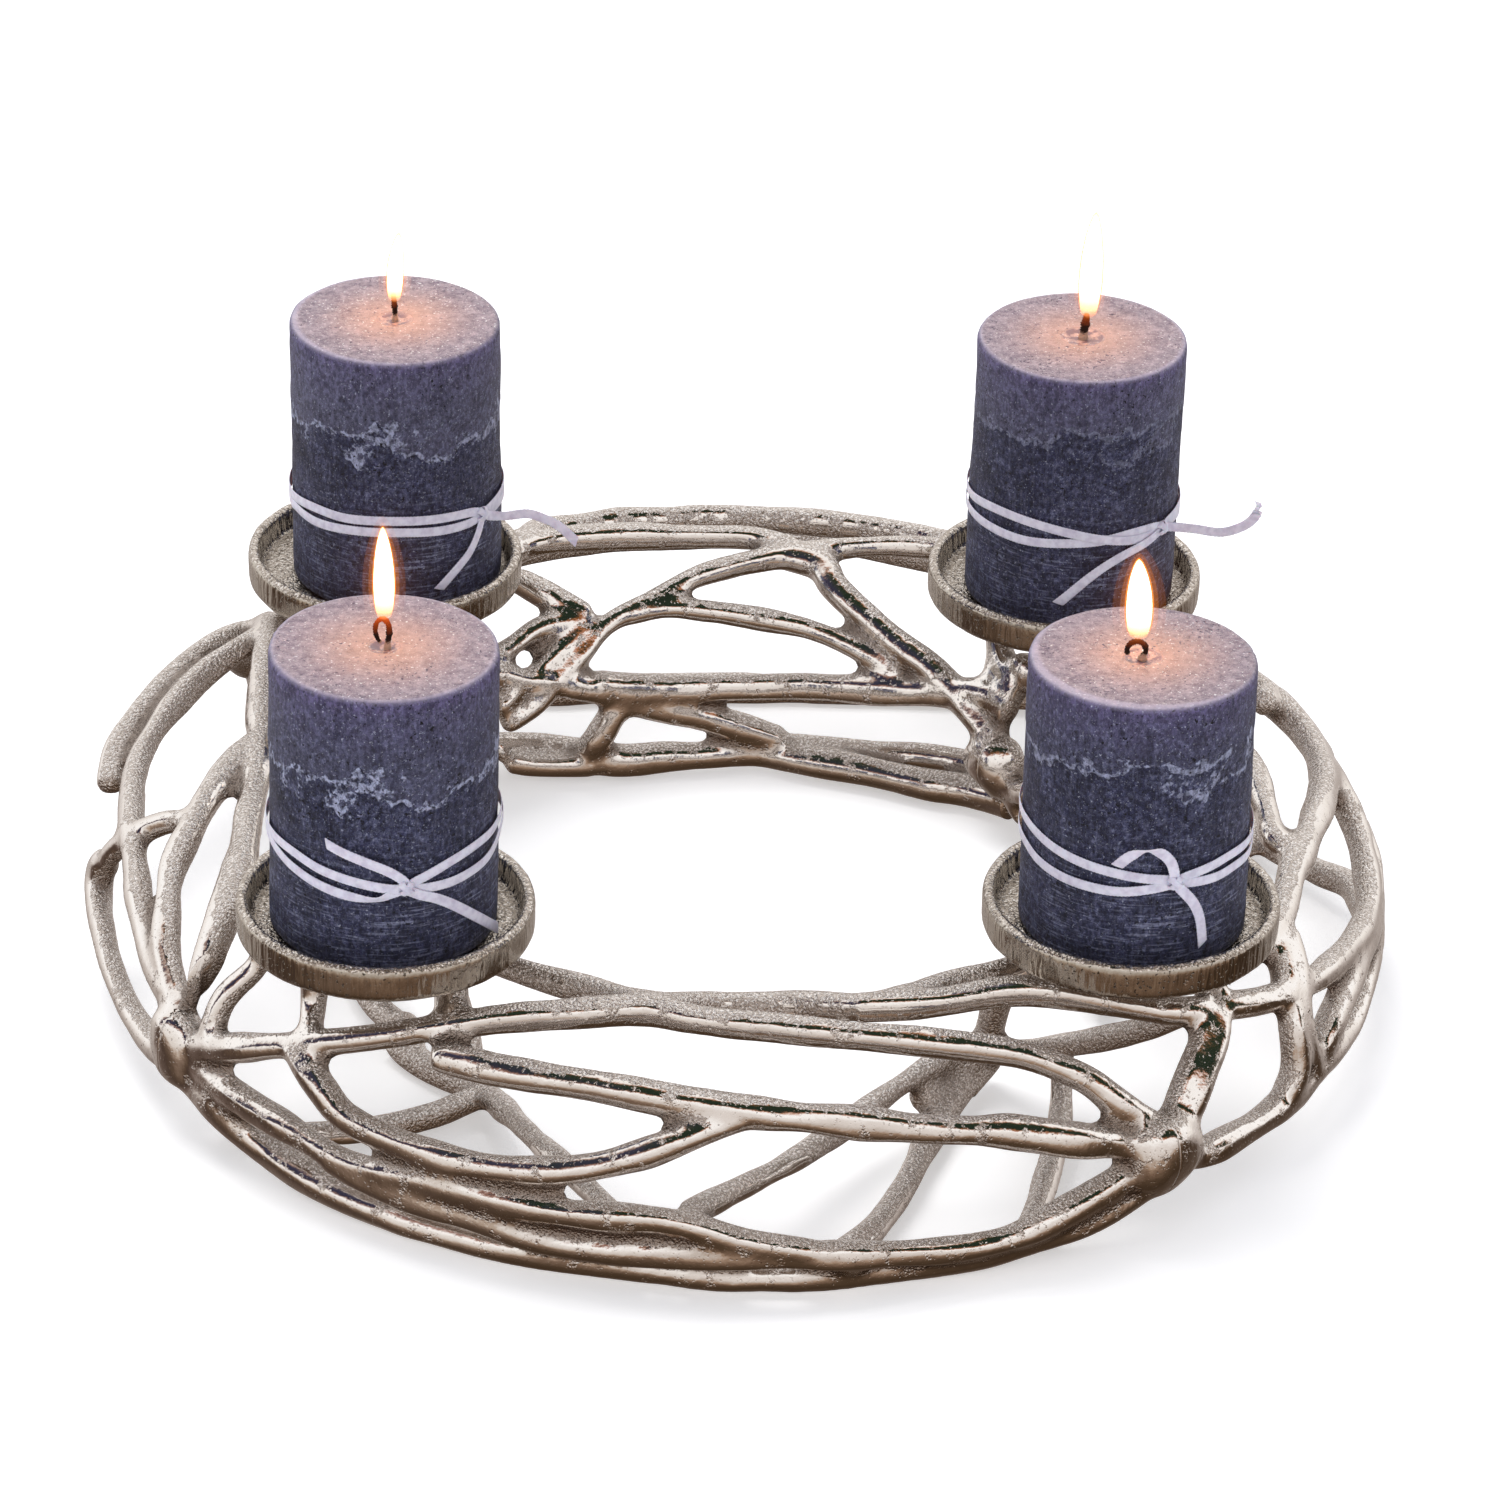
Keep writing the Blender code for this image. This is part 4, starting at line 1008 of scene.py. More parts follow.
def castDish(name, material):
    # turned from its outline, from the middle of its underside over the rim to the middle of its floor; the
    # small numbers ease its corners
    bore = dish["radius"] - dish["rimThickness"]
    under, floor = -dish["height"], -dish["depth"]
    boss = under - dish["bossHeight"]
    outline = [
        (dish["pole"], boss), (dish["bossRadius"] - 1, boss), (dish["bossRadius"], under),
        (dish["radius"] - 0.3, under), (dish["radius"], under + 0.4), (dish["radius"] + 0.2, -1.2),
        (dish["radius"] - 0.5, 0.1), (bore + 0.3, 0.1), (bore, -0.7), (bore - dish["draft"], floor + 0.6),
        (bore - 1.6, floor), (dish["pole"], floor),
    ]
    place = np.array(dishPlaces[name])
    grid = turnedGrid(roundedProfile(outline, dish["step"], 2), dish["sides"], place)
    mesh = tubesMesh(f"dish_{name}", [grid])
    facedOutwards(mesh)
    points, normals = pointsOf(mesh), normalsOf(mesh)
    broad, fine = dish["unevenSizes"]
    rough = dish["unevenness"] * (noise(points, broad, 21) + 0.5 * noise(points, fine, 22))
    share = dish["wall"] + (1 - dish["wall"]) * np.abs(normals[:, 2:])
    setPoints(mesh, points + rough[:, None] * normals * share)
    paint(mesh, "polish", smoothStep(*dish["polish"], np.abs(normalsOf(mesh)[:, 2])))
    # a band round the corner of the floor, painted darker as shade
    out = np.hypot(*(points[:, :2] - place[:2]).T)
    below = points[:, 2] - place[2] < floor + dish["shadeHeight"]
    paint(mesh, "shadedHollow", dish["dark"] * (below & (out > bore - dish["shadeWidth"]) & (out < bore + 0.5)))
    smoothShaded(mesh)
    piece(f"cast_dish_{name}", mesh, material, "cast_metal", f"candle_dish_{name}")


def pillar(name):
    # a cylinder with eased edges, turned from its outline; its top dips into the molten pool round the wick
    facts, axis = candles[name], candleAxis(name)
    radius, foot, top, edge = candle["radius"], candle["foot"], candle["top"], candle["edge"]
    pool, deep = facts["pool"], candle["poolDepth"]
    outline = [
        (candle["pole"], foot), (radius - candle["footEdge"], foot), (radius, foot + candle["footEdge"]),
        (radius, top - edge), (radius - 0.25 * edge, top - 0.25 * edge), (radius - edge, top),
        (pool + 1.4, top), (pool + 0.5, top + 0.12), (pool, top - 0.1), (pool * 0.8, top - 0.75 * deep),
        (pool * 0.4, top - deep), (candle["pole"], top - deep),
    ]
    grid = turnedGrid(roundedProfile(outline, candle["step"], 1), candle["sides"], axis)
    mesh = tubesMesh(f"candle_{name}", [grid])
    facedOutwards(mesh)
    points, normals = pointsOf(mesh), normalsOf(mesh)
    local = points - axis
    out = np.hypot(local[:, 0], local[:, 1])
    onTop = smoothStep(0.45, 0.8, normals[:, 2])
    inPool = smoothStep(pool + 0.5, pool - 0.3, out) * (local[:, 2] > 0)
    seed = 31 + list(candles).index(name)
    broad, fine = candle["swellSizes"]
    uneven = candle["swell"] * (noise(points, broad, seed) + 0.5 * noise(points, fine, seed + 10))
    pocked = smoothStep(0.45, 0.75, noise(points, candle["pitSize"], seed + 20))
    pocked *= smoothStep(0.0, 0.5, noise(points, candle["pitPatches"], seed + 30))
    change = uneven * (1 - 0.6 * onTop) - candle["pits"] * pocked * (1 - 0.7 * onTop)
    line = facts["frost"] + candle["frostWander"] * noise(points, candle["frostWanderSize"], seed + 40)
    under = smoothStep(0.6, -0.6, local[:, 2] - line)
    change -= candle["frostStep"] * facts["frosting"] * under * (1 - onTop)
    change *= 1 - inPool
    setPoints(mesh, axis + leant(name, local) + change[:, None] * normals)
    paint(mesh, "cap", onTop)
    paint(mesh, "pool", inPool)
    smoothShaded(mesh)
    piece(f"pillar_candle_{name}", mesh, pillarWax(name), "wax", f"candle_{name}")


# Each wick from the pool upwards: (sideways, towards the back, over the candle's top, half thickness)
wicks = {
    "front_left": [
        (0.9, 0, -2.0, 1.0), (1.1, 0, 1.5, 0.95), (1.5, 0, 4.5, 0.9), (1.2, 0, 7.6, 0.85),
        (-0.4, 0, 9.4, 0.8), (-2.2, 0, 8.2, 0.75), (-2.7, 0, 5.2, 0.7), (-1.8, 0, 2.3, 0.65),
        (-0.9, 0, 1.2, 0.6),
    ],
    "front_right": [
        (-0.3, -0.4, -2.0, 1.2), (-0.5, -1.0, 0.6, 1.2), (0.1, -1.4, 1.9, 0.85), (0.35, -1.5, 3.2, 0.85),
        (-0.5, -1.5, 5.15, 0.85), (-2.55, -1.5, 6.0, 0.85), (-4.6, -1.5, 5.1, 0.8), (-5.45, -1.5, 3.1, 0.8),
        (-4.9, -1.5, 1.4, 0.7),
    ],
    "back_left": [(0, 0, -2.0, 0.95), (0, 0, 2.0, 0.95), (-0.3, 0, 6.0, 0.9), (-0.6, 0, 9.4, 0.7)],
    "back_right": [(0, 0, -2.0, 1.3), (0.2, 0, 2.0, 1.5), (0.6, 0, 5.5, 1.3), (0.9, 0, 8.6, 0.9)],
}
wickThread = {
    "sides": 18,
    "step": 0.25,
    "lobes": 3,             # threads
    "lay": 2.6,             # length in which they turn once
    "groove": 0.14,
    "fray": 0.18,
    "fraySize": 1.1,
    "burntBy": 12,          # height over the candle's top
    "never": (0.02, 1.0, 0.01),     # a way that no wick runs
}


def wick(name, material):
    # three threads laid together: radius * (1 + groove * cos(lobes * (angle - turn)))
    points = np.array(wicks[name], float)
    points[:, :3] += candleTop(name)
    path, run = evenPath(points, wickThread["step"])
    centre, half = path[:, :3], path[:, 3]
    along = unit(np.gradient(centre, axis=0))
    side = unit(np.cross(along, wickThread["never"]))
    front = np.cross(along, side)
    angle = fullTurn(wickThread["sides"])[None]
    turn = (2 * math.pi * run / wickThread["lay"])[:, None]
    tip = roundedEnd(run[-1] - run, half)[:, None]
    size = half[:, None] * tip * (1 + wickThread["groove"] * np.cos(wickThread["lobes"] * (angle - turn)))
    size *= 1 + wickThread["fray"] * noiseAlong(run, wickThread["fraySize"], 7)[:, None]
    ring = np.cos(angle)[..., None] * side[:, None] + np.sin(angle)[..., None] * front[:, None]
    mesh = tubesMesh(f"wick_{name}", [centre[:, None] + size[..., None] * ring])
    facedOutwards(mesh)
    burntBy = wickThread["burntBy"]
    paint(mesh, "burnt", np.clip(pointsOf(mesh)[:, 2] - candleTop(name)[2], 0, burntBy) / burntBy)
    smoothShaded(mesh)
    piece(f"braided_wick_{name}", mesh, material, "wick", f"wick_{name}")


# Each flame: sideways, height of its base and tip over the candle's top, widest radius, lean of the tip
flames = {
    "front_left": (0.0, 9.0, 40.5, 3.1, -0.5),
    "front_right": (-2.1, 6.0, 33.2, 3.9, -1.2),
    "back_left": (-0.2, 6.0, 31.0, 2.6, 1.4),
    "back_right": (1.4, 6.5, 45.0, 3.6, 0.6),
}
flameShape = {
    "sides": 24,
    "rows": 40,
    "rowSpan": (0.004, 0.998),      # shares of its height between which the rows lie
    "fullest": 0.38,                # share of its height
    "foot": 0.35,                   # its width at its foot against its widest
    "closing": 0.05,                # share of its height in which its foot closes
    "roundness": 0.62,
    "lower": 0.8,                   # how much lower and higher an outer skin is, against how much fatter
    "higher": 1.1,
}
# Its skins, heart first and faintest glow last: how many times as fat, opacity, strength, and share of the
# heart's colour
flameSkins = [
    (1.0, 1.0, 5.0, 1.0),
    (1.15, 0.3, 1.7, 0.0),
    (1.5, 0.035, 2.6, 0.0),
    (2.1, 0.015, 2.6, 0.0),
]


def flameGrid(name, fatter):
    # a drop: radius = widest * (a quarter of an ellipse up to the fullest point, then a cosine fall to
    # the tip)
    sideways, base, tip, widest, lean = flames[name]
    fullest, foot = flameShape["fullest"], flameShape["foot"]
    spread = widest * (fatter - 1)
    base, tip = base - flameShape["lower"] * spread, tip + flameShape["higher"] * spread
    u = np.linspace(*flameShape["rowSpan"], flameShape["rows"])
    rise = np.sqrt(np.clip(1 - ((fullest - u) / fullest) ** 2, 0, 1))
    fall = np.cos(math.pi / 2 * np.clip((u - fullest) / (1 - fullest), 0, 1)) ** flameShape["roundness"]
    radius = (widest + spread) * np.where(u < fullest, foot + (1 - foot) * rise, fall)
    radius *= np.sqrt(np.clip(u / flameShape["closing"], 0, 1))
    grid = turnedGrid(np.stack([radius, base + u * (tip - base)], axis=1), flameShape["sides"], (0, 0, 0))
    grid[..., 0] += sideways + lean * u[:, None] ** 2
    return grid + candleTop(name)


def flame(name):
    # the bright heart of the flame, the orange mantle round it, and skins of fading glow
    grids = [flameGrid(name, skin[0]) for skin in flameSkins]
    mesh = tubesMesh(f"flame_{name}", grids)
    base, tip = flames[name][1:3]
    height = pointsOf(mesh)[:, 2] - candleTop(name)[2]
    paint(mesh, "rise", np.clip((height - base) / (tip - base), 0, 1))
    each = len(height) // len(flameSkins)
    for i, key in enumerate(("body", "blaze", "heart"), 1):
        paint(mesh, key, np.repeat([skin[i] for skin in flameSkins], each))
    smoothShaded(mesh)
    made = piece(f"candle_flame_{name}", mesh, burningGas(name), "flame", f"flame_{name}")
    made.visible_shadow = False


# Materials

# What a user would change about the two kinds of casting: colours, grain and ripples in millimetres
ringFinish = {
    "polished": "#e8e3df",
    "crystals": [(0.45, "#ffffff"), (0.78, "#f4efec"), (1.0, "#cdc4bd")],
    # the corner colour is painted shade, laid in corners and pits
    "corner": "#9a8e86",
    "grain": 0.85,
    "grainDepth": 0.52,
    "polishedRoughness": 0.12,
    "castRoughness": 0.22,
    "ripple": (5.0, 5.0, 5.0),
    "rippleDepth": 0.2,
    "pits": 0.25,
    "patches": -0.85,       # how far the grain reaches over the polish, less for more of it
}
dishFinish = {
    "polished": "#bfb8ae",
    "crystals": [(0.45, "#ffffff"), (0.70, "#e6dfd8"), (1.0, "#b0a69c")],
    # the corner colour is painted shade, laid in corners and pits
    "corner": "#7a6e62",
    "grain": 0.95,
    "grainDepth": 0.3,
    "polishedRoughness": 0.17,
    "castRoughness": 0.26,
    "ripple": (2.6, 2.6, 16.0),
    "rippleDepth": 0.7,
    "pits": 0.9,
    "patches": -0.5,
}


# What both have alike: sizes in millimetres, and spans as (where it starts, where it is full)
castPattern = {
    "patch": 6,
    "patchSpan": (0.3, 0.7),
    "polishSpan": (0.4, 0.6),
    "fineness": 1.4,        # of the noise in the grain, against the grain
    "hole": 1.1,
    "holeSpan": (0.66, 0.74),
    "grainLeft": 0.04,      # share of the grain that the belt left
}


def castMetal(name, finish):
    # sand-cast aluminium, nickel plated: bright and wavy where a belt has dressed it, sugary grain elsewhere
    made, tree, shader, place = newMaterial(name)
    polish = addNode(tree, "Attribute", attribute_name="polish").outputs["Fac"]
    shadedHollow = addNode(tree, "Attribute", attribute_name="shadedHollow").outputs["Fac"]
    patchNoise = {"Vector": place, "Scale": 1 / castPattern["patch"], "Detail": 5, "Roughness": 0.7}
    patches = addNode(tree, "TexNoise", patchNoise).outputs["Fac"]
    low, high = castPattern["patchSpan"]
    uneven = addNode(tree, "MapRange", {0: patches, 1: low, 2: high, 3: finish["patches"], 4: 0.5}).outputs[0]
    reached = addNode(tree, "Math", {0: polish, 1: uneven}, operation="ADD").outputs[0]
    low, high = castPattern["polishSpan"]
    spread = {0: reached, 1: low, 2: high}
    dressed = addNode(tree, "MapRange", spread, interpolation_type="SMOOTHSTEP").outputs[0]
    # the cast grain: sugary cells with finer noise in them, drawn coarser than real sand leaves them, so
    # that they show
    cells = addNode(tree, "TexVoronoi", {"Vector": place, "Scale": 1 / finish["grain"]}, feature="SMOOTH_F1")
    fineNoise = {"Vector": place, "Scale": castPattern["fineness"] / finish["grain"], "Detail": 2}
    fine = addNode(tree, "TexNoise", fineNoise).outputs["Fac"]
    sugar = addNode(tree, "Math", {0: cells.outputs["Distance"], 1: fine}, operation="ADD").outputs[0]
    crystals = addNode(tree, "ValToRGB", {"Fac": sugar}, stops=finish["crystals"]).outputs["Color"]
    # pits that the belt didn't reach, which the colour below darkens as painted shade in them
    holes = addNode(tree, "TexNoise", {"Vector": place, "Scale": 1 / castPattern["hole"], "Detail": 1})
    low, high = castPattern["holeSpan"]
    pitSpan = {0: holes.outputs["Fac"], 1: low, 2: high, 3: 0.0, 4: finish["pits"]}
    pitted = addNode(tree, "MapRange", pitSpan).outputs[0]
    layers = {0: dressed, 6: crystals, 7: linear(finish["polished"])}
    tint = addNode(tree, "Mix", layers, data_type="RGBA").outputs[2]
    # corners and pits take the corner colour: painted shade in them
    paintedShade = addNode(tree, "Math", {0: shadedHollow, 1: pitted}, operation="MAXIMUM").outputs[0]
    whole = addNode(tree, "Mix", {0: paintedShade, 6: tint, 7: linear(finish["corner"])}, data_type="RGBA")
    tree.links.new(whole.outputs[2], shader.inputs["Base Color"])
    shader.inputs["Metallic"].default_value = 1.0
    fromTo = {0: dressed, 3: finish["castRoughness"], 4: finish["polishedRoughness"]}
    rough = addNode(tree, "MapRange", fromTo).outputs[0]
    tree.links.new(rough, shader.inputs["Roughness"])
    rawness = addNode(tree, "MapRange", {0: dressed, 3: 1.0, 4: castPattern["grainLeft"]}).outputs[0]
    bumps = {"Height": sugar, "Strength": rawness, "Distance": finish["grainDepth"] * mm}
    grain = addNode(tree, "Bump", bumps).outputs[0]
    # the belt leaves soft ripples
    drawn = addNode(tree, "VectorMath", {0: place, 1: finish["ripple"]}, operation="DIVIDE").outputs[0]
    ripple = addNode(tree, "TexNoise", {"Vector": drawn, "Scale": 1.0, "Detail": 2}).outputs["Fac"]
    dips = addNode(tree, "Math", {0: ripple, 1: pitted}, operation="SUBTRACT").outputs[0]
    waves = {"Height": dips, "Strength": 1.0, "Distance": finish["rippleDepth"] * mm, "Normal": grain}
    tree.links.new(addNode(tree, "Bump", waves).outputs[0], shader.inputs["Normal"])
    return made


waxLook = {
    "dark": "#191c36",
    "middle": "#36395a",
    "light": "#6f728e",
    "violet": "#6a5f8c",
    "haze": "#6c6b84",
    "speck": "#b6bacb",
    # near-black painted shade in the wax's pits, also on the top
    "pitShade": "#0c0e18",
    "frost": "#a0a4bf",
    # the top's tones are paler than the side's, partly painted glow of light through the wax
    "topDark": "#64536a",
    "topLight": "#d6c6ce",
    # painted glow of the flame's light through the top, towards the wick
    "glow": "#e8b698",
    "pool": "#7a5f66",
    # white of the painted glints on the top
    "paintedGlint": "#ffffff",
    # pale line round the top's outer edge: a painted highlight
    "rim": "#d9cfe4",
    "contrast": 0.42,       # how much the mottling shows through the haze and the violet
    "wander": 13.0,         # millimetres that the frosted line goes up and down
    "soaks": 1.4,           # millimetres that light goes into it
    "softness": 0.15,
    "relief": 1.1,          # depth of its roughness in millimetres
    "roughness": (0.55, 0.3, 0.06),     # of its side, its top and its molten pool
}
# Clouds of noise in the wax: size in millimetres, detail, roughness, and how far each is drawn out along
# x, y and z
waxClouds = {
    "mottle": (2.2, 8, 0.92, (1, 1, 1)),
    "patches": (16, 2, 0.6, (1, 1, 1)),
    "streaks": (1.0, 2, 0.6, (1, 1, 14)),
    "turning": (0.7, 2, 0.6, (14, 14, 1)),
    "specks": (0.8, 2, 0.7, (1, 1, 1)),
    "wander": (15, 4, 0.62, (1, 1, 1)),
    "blotches": (6.0, 4, 0.7, (1, 1, 1.6)),
    "breaks": (3.0, 3, 0.6, (1, 1, 1)),
    "chips": (5.0, 4, 0.75, (1, 1, 1)),
    "pits": (1.25, 1, 0.6, (1, 1, 1)),
    "pitted": (12, 2, 0.6, (1, 1, 1)),
    "crown": (3.0, 8, 0.88, (1, 1, 1)),
    "relief": (1.1, 4, 0.75, (1, 1, 1)),
    "paintedGlints": (0.9, 1, 0.6, (1, 1, 1)),
    "grain": (1.3, 4, 0.8, (1, 1, 1.6)),
}


def pillarWax(name):
    # dyed paraffin poured cold against the mould: slate mottled with violet, pitted, with a frosted line
    facts, axis = candles[name], candleAxis(name)
    made, tree, shader, place = newMaterial(f"rustic pillar wax {name}")
    local = addNode(tree, "Mapping", {"Vector": place, "Location": -axis}).outputs[0]
    height = addNode(tree, "SeparateXYZ", {0: local}).outputs["Z"]
    flat = addNode(tree, "VectorMath", {0: local, 1: (1, 1, 0)}, operation="MULTIPLY").outputs[0]
    fromAxis = addNode(tree, "VectorMath", {0: flat}, operation="LENGTH").outputs["Value"]
    cap = addNode(tree, "Attribute", attribute_name="cap").outputs["Fac"]
    pool = addNode(tree, "Attribute", attribute_name="pool").outputs["Fac"]
    cloud = {}
    for key, (size, detail, rough, stretch) in waxClouds.items():
        drawn = addNode(tree, "VectorMath", {0: local, 1: stretch}, operation="DIVIDE").outputs[0]
        grains = {"Vector": drawn, "Scale": 1 / size, "Detail": detail, "Roughness": rough}
        cloud[key] = addNode(tree, "TexNoise", grains).outputs["Fac"]
    # how far the frosted line is from here: it wanders up and down round its height
    wanders = {0: cloud["wander"], 1: 0.25, 2: 0.75, 3: -waxLook["wander"], 4: waxLook["wander"]}
    wander = addNode(tree, "MapRange", wanders).outputs[0]
    over = addNode(tree, "Math", {0: height, 1: facts["frost"]}, operation="SUBTRACT").outputs[0]
    off = addNode(tree, "Math", {0: over, 1: wander}, operation="SUBTRACT").outputs[0]
    away = addNode(tree, "Math", {0: off}, operation="ABSOLUTE").outputs[0]
    # each mask: what it follows, where it starts and is full, and how strong it gets
    masks = {
        "patches": (cloud["patches"], 0.42, 0.68, 0.55),
        "upper": (height, 62, 84, 0.35),
        "rim": (height, 79.5, 84.6, 0.7),
        "streaks": (cloud["streaks"], 0.54, 0.70, 0.3),
        "foot": (height, 52, 6, 0.8),
        "turning": (cloud["turning"], 0.52, 0.68, 0.6),
        "above": (off, -0.5, 0.7, facts["haze"]),
        "under": (off, -14.0, -4.0, facts["frosting"]),
        "chips": (cloud["chips"], 0.64, 0.67, 0.65),
        "specks": (cloud["specks"], 0.62, 0.72, 0.8),
        "blotches": (cloud["blotches"], 0.50, 0.62, 0.45),
        "near": (away, 2.6, 1.3, facts["frosting"]),
        "breaks": (cloud["breaks"], 0.40, 0.48, 1.0),
        "pits": (cloud["pits"], 0.64, 0.69, 1.0),
        "pitted": (cloud["pitted"], 0.4, 0.6, 1.0),
        # painted glow of the flame's light, stronger towards the wick
        "paintedWickGlow": (fromAxis, 31, 2, 0.55),
        # painted glints: white specks standing for highlights
        "paintedGlints": (cloud["paintedGlints"], 0.67, 0.71, 0.9),
        # painted highlight: a pale line round the top's outer edge
        "edge": (fromAxis, 32.6, 34.6, 0.6),
        "wet": (cloud["breaks"], 0.38, 0.56, 0.9),
        "tones": (cloud["grain"], 0.38, 0.62, 1.0),
    }
    mask = {"pool": pool}
    for key, (source, low, high, most) in masks.items():
        ranged = {0: source, 1: low, 2: high, 3: 0.0, 4: most}
        mask[key] = addNode(tree, "MapRange", ranged, interpolation_type="SMOOTHSTEP").outputs[0]
    # masks that hold only where two others do
    pairs = [
        ("rings", "foot", "turning"), ("frost", "near", "breaks"), ("crust", "under", "chips"),
        ("shadedPits", "pits", "pitted"), ("melt", "wet", "pool"),
    ]
    for key, first, second in pairs:
        mask[key] = addNode(tree, "Math", {0: mask[first], 1: mask[second]}, operation="MULTIPLY").outputs[0]
    sideTones = [(0.42, waxLook["dark"]), (0.60, waxLook["light"]), (0.5, waxLook["middle"])]
    sideLayers = [
        ("patches", "dark"), ("above", "haze"), ("upper", "violet"), ("rim", "violet"), ("blotches", "dark"),
        ("streaks", "light"), ("rings", "frost"), ("specks", "speck"), ("crust", "frost"), ("frost", "frost"),
        ("shadedPits", "pitShade"),
    ]
    # the top is paler, partly because the side's rustic skin is darker and partly as painted glow of light soaking
    # through it; it is warmer towards the wick, a painted glow of the flame's light, where the light soaks through
    # it
    topTones = [(0.36, waxLook["topDark"]), (0.64, waxLook["topLight"])]
    topLayers = [
        ("paintedWickGlow", "glow"), ("shadedPits", "topDark"), ("paintedGlints", "paintedGlint"), ("edge", "rim"), ("melt", "pool"),
    ]
    side = addNode(tree, "ValToRGB", {"Fac": cloud["mottle"]}, stops=sideTones).outputs["Color"]
    for key, colour in sideLayers:
        layer = {0: mask[key], 6: side, 7: linear(waxLook[colour])}
        side = addNode(tree, "Mix", layer, data_type="RGBA").outputs[2]
    tones = {0: waxLook["contrast"], 6: side, 7: mask["tones"]}
    side = addNode(tree, "Mix", tones, data_type="RGBA", blend_type="OVERLAY").outputs[2]
    crown = addNode(tree, "ValToRGB", {"Fac": cloud["crown"]}, stops=topTones).outputs["Color"]
    for key, colour in topLayers:
        layer = {0: mask[key], 6: crown, 7: linear(waxLook[colour])}
        crown = addNode(tree, "Mix", layer, data_type="RGBA").outputs[2]
    whole = addNode(tree, "Mix", {0: cap, 6: side, 7: crown}, data_type="RGBA")
    tree.links.new(whole.outputs[2], shader.inputs["Base Color"])
    shader.inputs["Subsurface Weight"].default_value = waxLook["softness"]
    shader.inputs["Subsurface Radius"].default_value = (1.0, 0.55, 0.45)
    shader.inputs["Subsurface Scale"].default_value = waxLook["soaks"] * mm
    ofSide, ofTop, ofPool = waxLook["roughness"]
    rough = addNode(tree, "MapRange", {0: cap, 3: ofSide, 4: ofTop}).outputs[0]
    wet = addNode(tree, "Mix", {0: pool, 2: rough, 3: ofPool}).outputs[0]
    tree.links.new(wet, shader.inputs["Roughness"])
    relief = addNode(tree, "Math", {0: cloud["relief"], 1: mask["shadedPits"]}, operation="SUBTRACT").outputs[0]
    relief = addNode(tree, "Math", {0: relief, 1: mask["frost"]}, operation="ADD").outputs[0]
    dry = addNode(tree, "MapRange", {0: pool, 3: 1.0, 4: 0.0}).outputs[0]
    bump = addNode(tree, "Bump", {"Height": relief, "Strength": dry, "Distance": waxLook["relief"] * mm})
    tree.links.new(bump.outputs[0], shader.inputs["Normal"])
    return made


satinLook = {
    "thread": "#e6e1ee",
    "shade": "#cdc6d8",
    "ribs": 0.55,           # from one weft thread to the next, drawn coarser than real so that it shows
    "ribDepth": 0.06,
    "hem": 0.82,            # share of the half width where the woven edge starts
    "cloud": 2.5,           # size of its paler and darker parts
    "softness": 0.15,
}


def satin():
    # polyester satin ribbon with a woven edge: silky sheen, fine ribs across it
    made, tree, shader, place = newMaterial("polyester satin ribbon")
    run = addNode(tree, "Attribute", attribute_name="run").outputs["Fac"]
    side = addNode(tree, "Attribute", attribute_name="side").outputs["Fac"]
    pitch = 2 * math.pi / satinLook["ribs"]
    turns = addNode(tree, "Math", {0: run, 1: pitch}, operation="MULTIPLY").outputs[0]
    rib = addNode(tree, "Math", {0: turns}, operation="SINE").outputs[0]
    edge = addNode(tree, "Math", {0: side}, operation="ABSOLUTE").outputs[0]
    hem = addNode(tree, "MapRange", {0: edge, 1: satinLook["hem"], 2: 1.0}).outputs[0]
    clouds = addNode(tree, "TexNoise", {"Vector": place, "Scale": 1 / satinLook["cloud"], "Detail": 3})
    tones = [(0.3, satinLook["shade"]), (0.6, satinLook["thread"])]
    colour = addNode(tree, "ValToRGB", {"Fac": clouds.outputs["Fac"]}, stops=tones).outputs["Color"]
    darker = addNode(tree, "Mix", {0: hem, 6: colour, 7: linear(satinLook["shade"])}, data_type="RGBA")
    tree.links.new(darker.outputs[2], shader.inputs["Base Color"])
    shader.inputs["Roughness"].default_value = 0.38
    shader.inputs["Sheen Weight"].default_value = 0.3
    shader.inputs["Subsurface Weight"].default_value = satinLook["softness"]
    shader.inputs["Subsurface Scale"].default_value = 1.0 * mm
    bump = addNode(tree, "Bump", {"Height": rib, "Strength": 0.35, "Distance": satinLook["ribDepth"] * mm})
    tree.links.new(bump.outputs[0], shader.inputs["Normal"])
    return made


# Colours of the wick as (how far up it is burnt, colour), and its fibres in millimetres
cottonLook = {
    "char": [(0.10, "#c9a48c"), (0.18, "#1c100c"), (0.60, "#120a08"), (0.75, "#6b2a10")],
    "ember": [(0.35, "#000000"), (0.80, "#9a3a0a")],
    "emberStrength": 1.2,
    "fibre": 0.5,
    "fibreDepth": 0.2,
    "unevenness": 0.12,     # of the charring
}


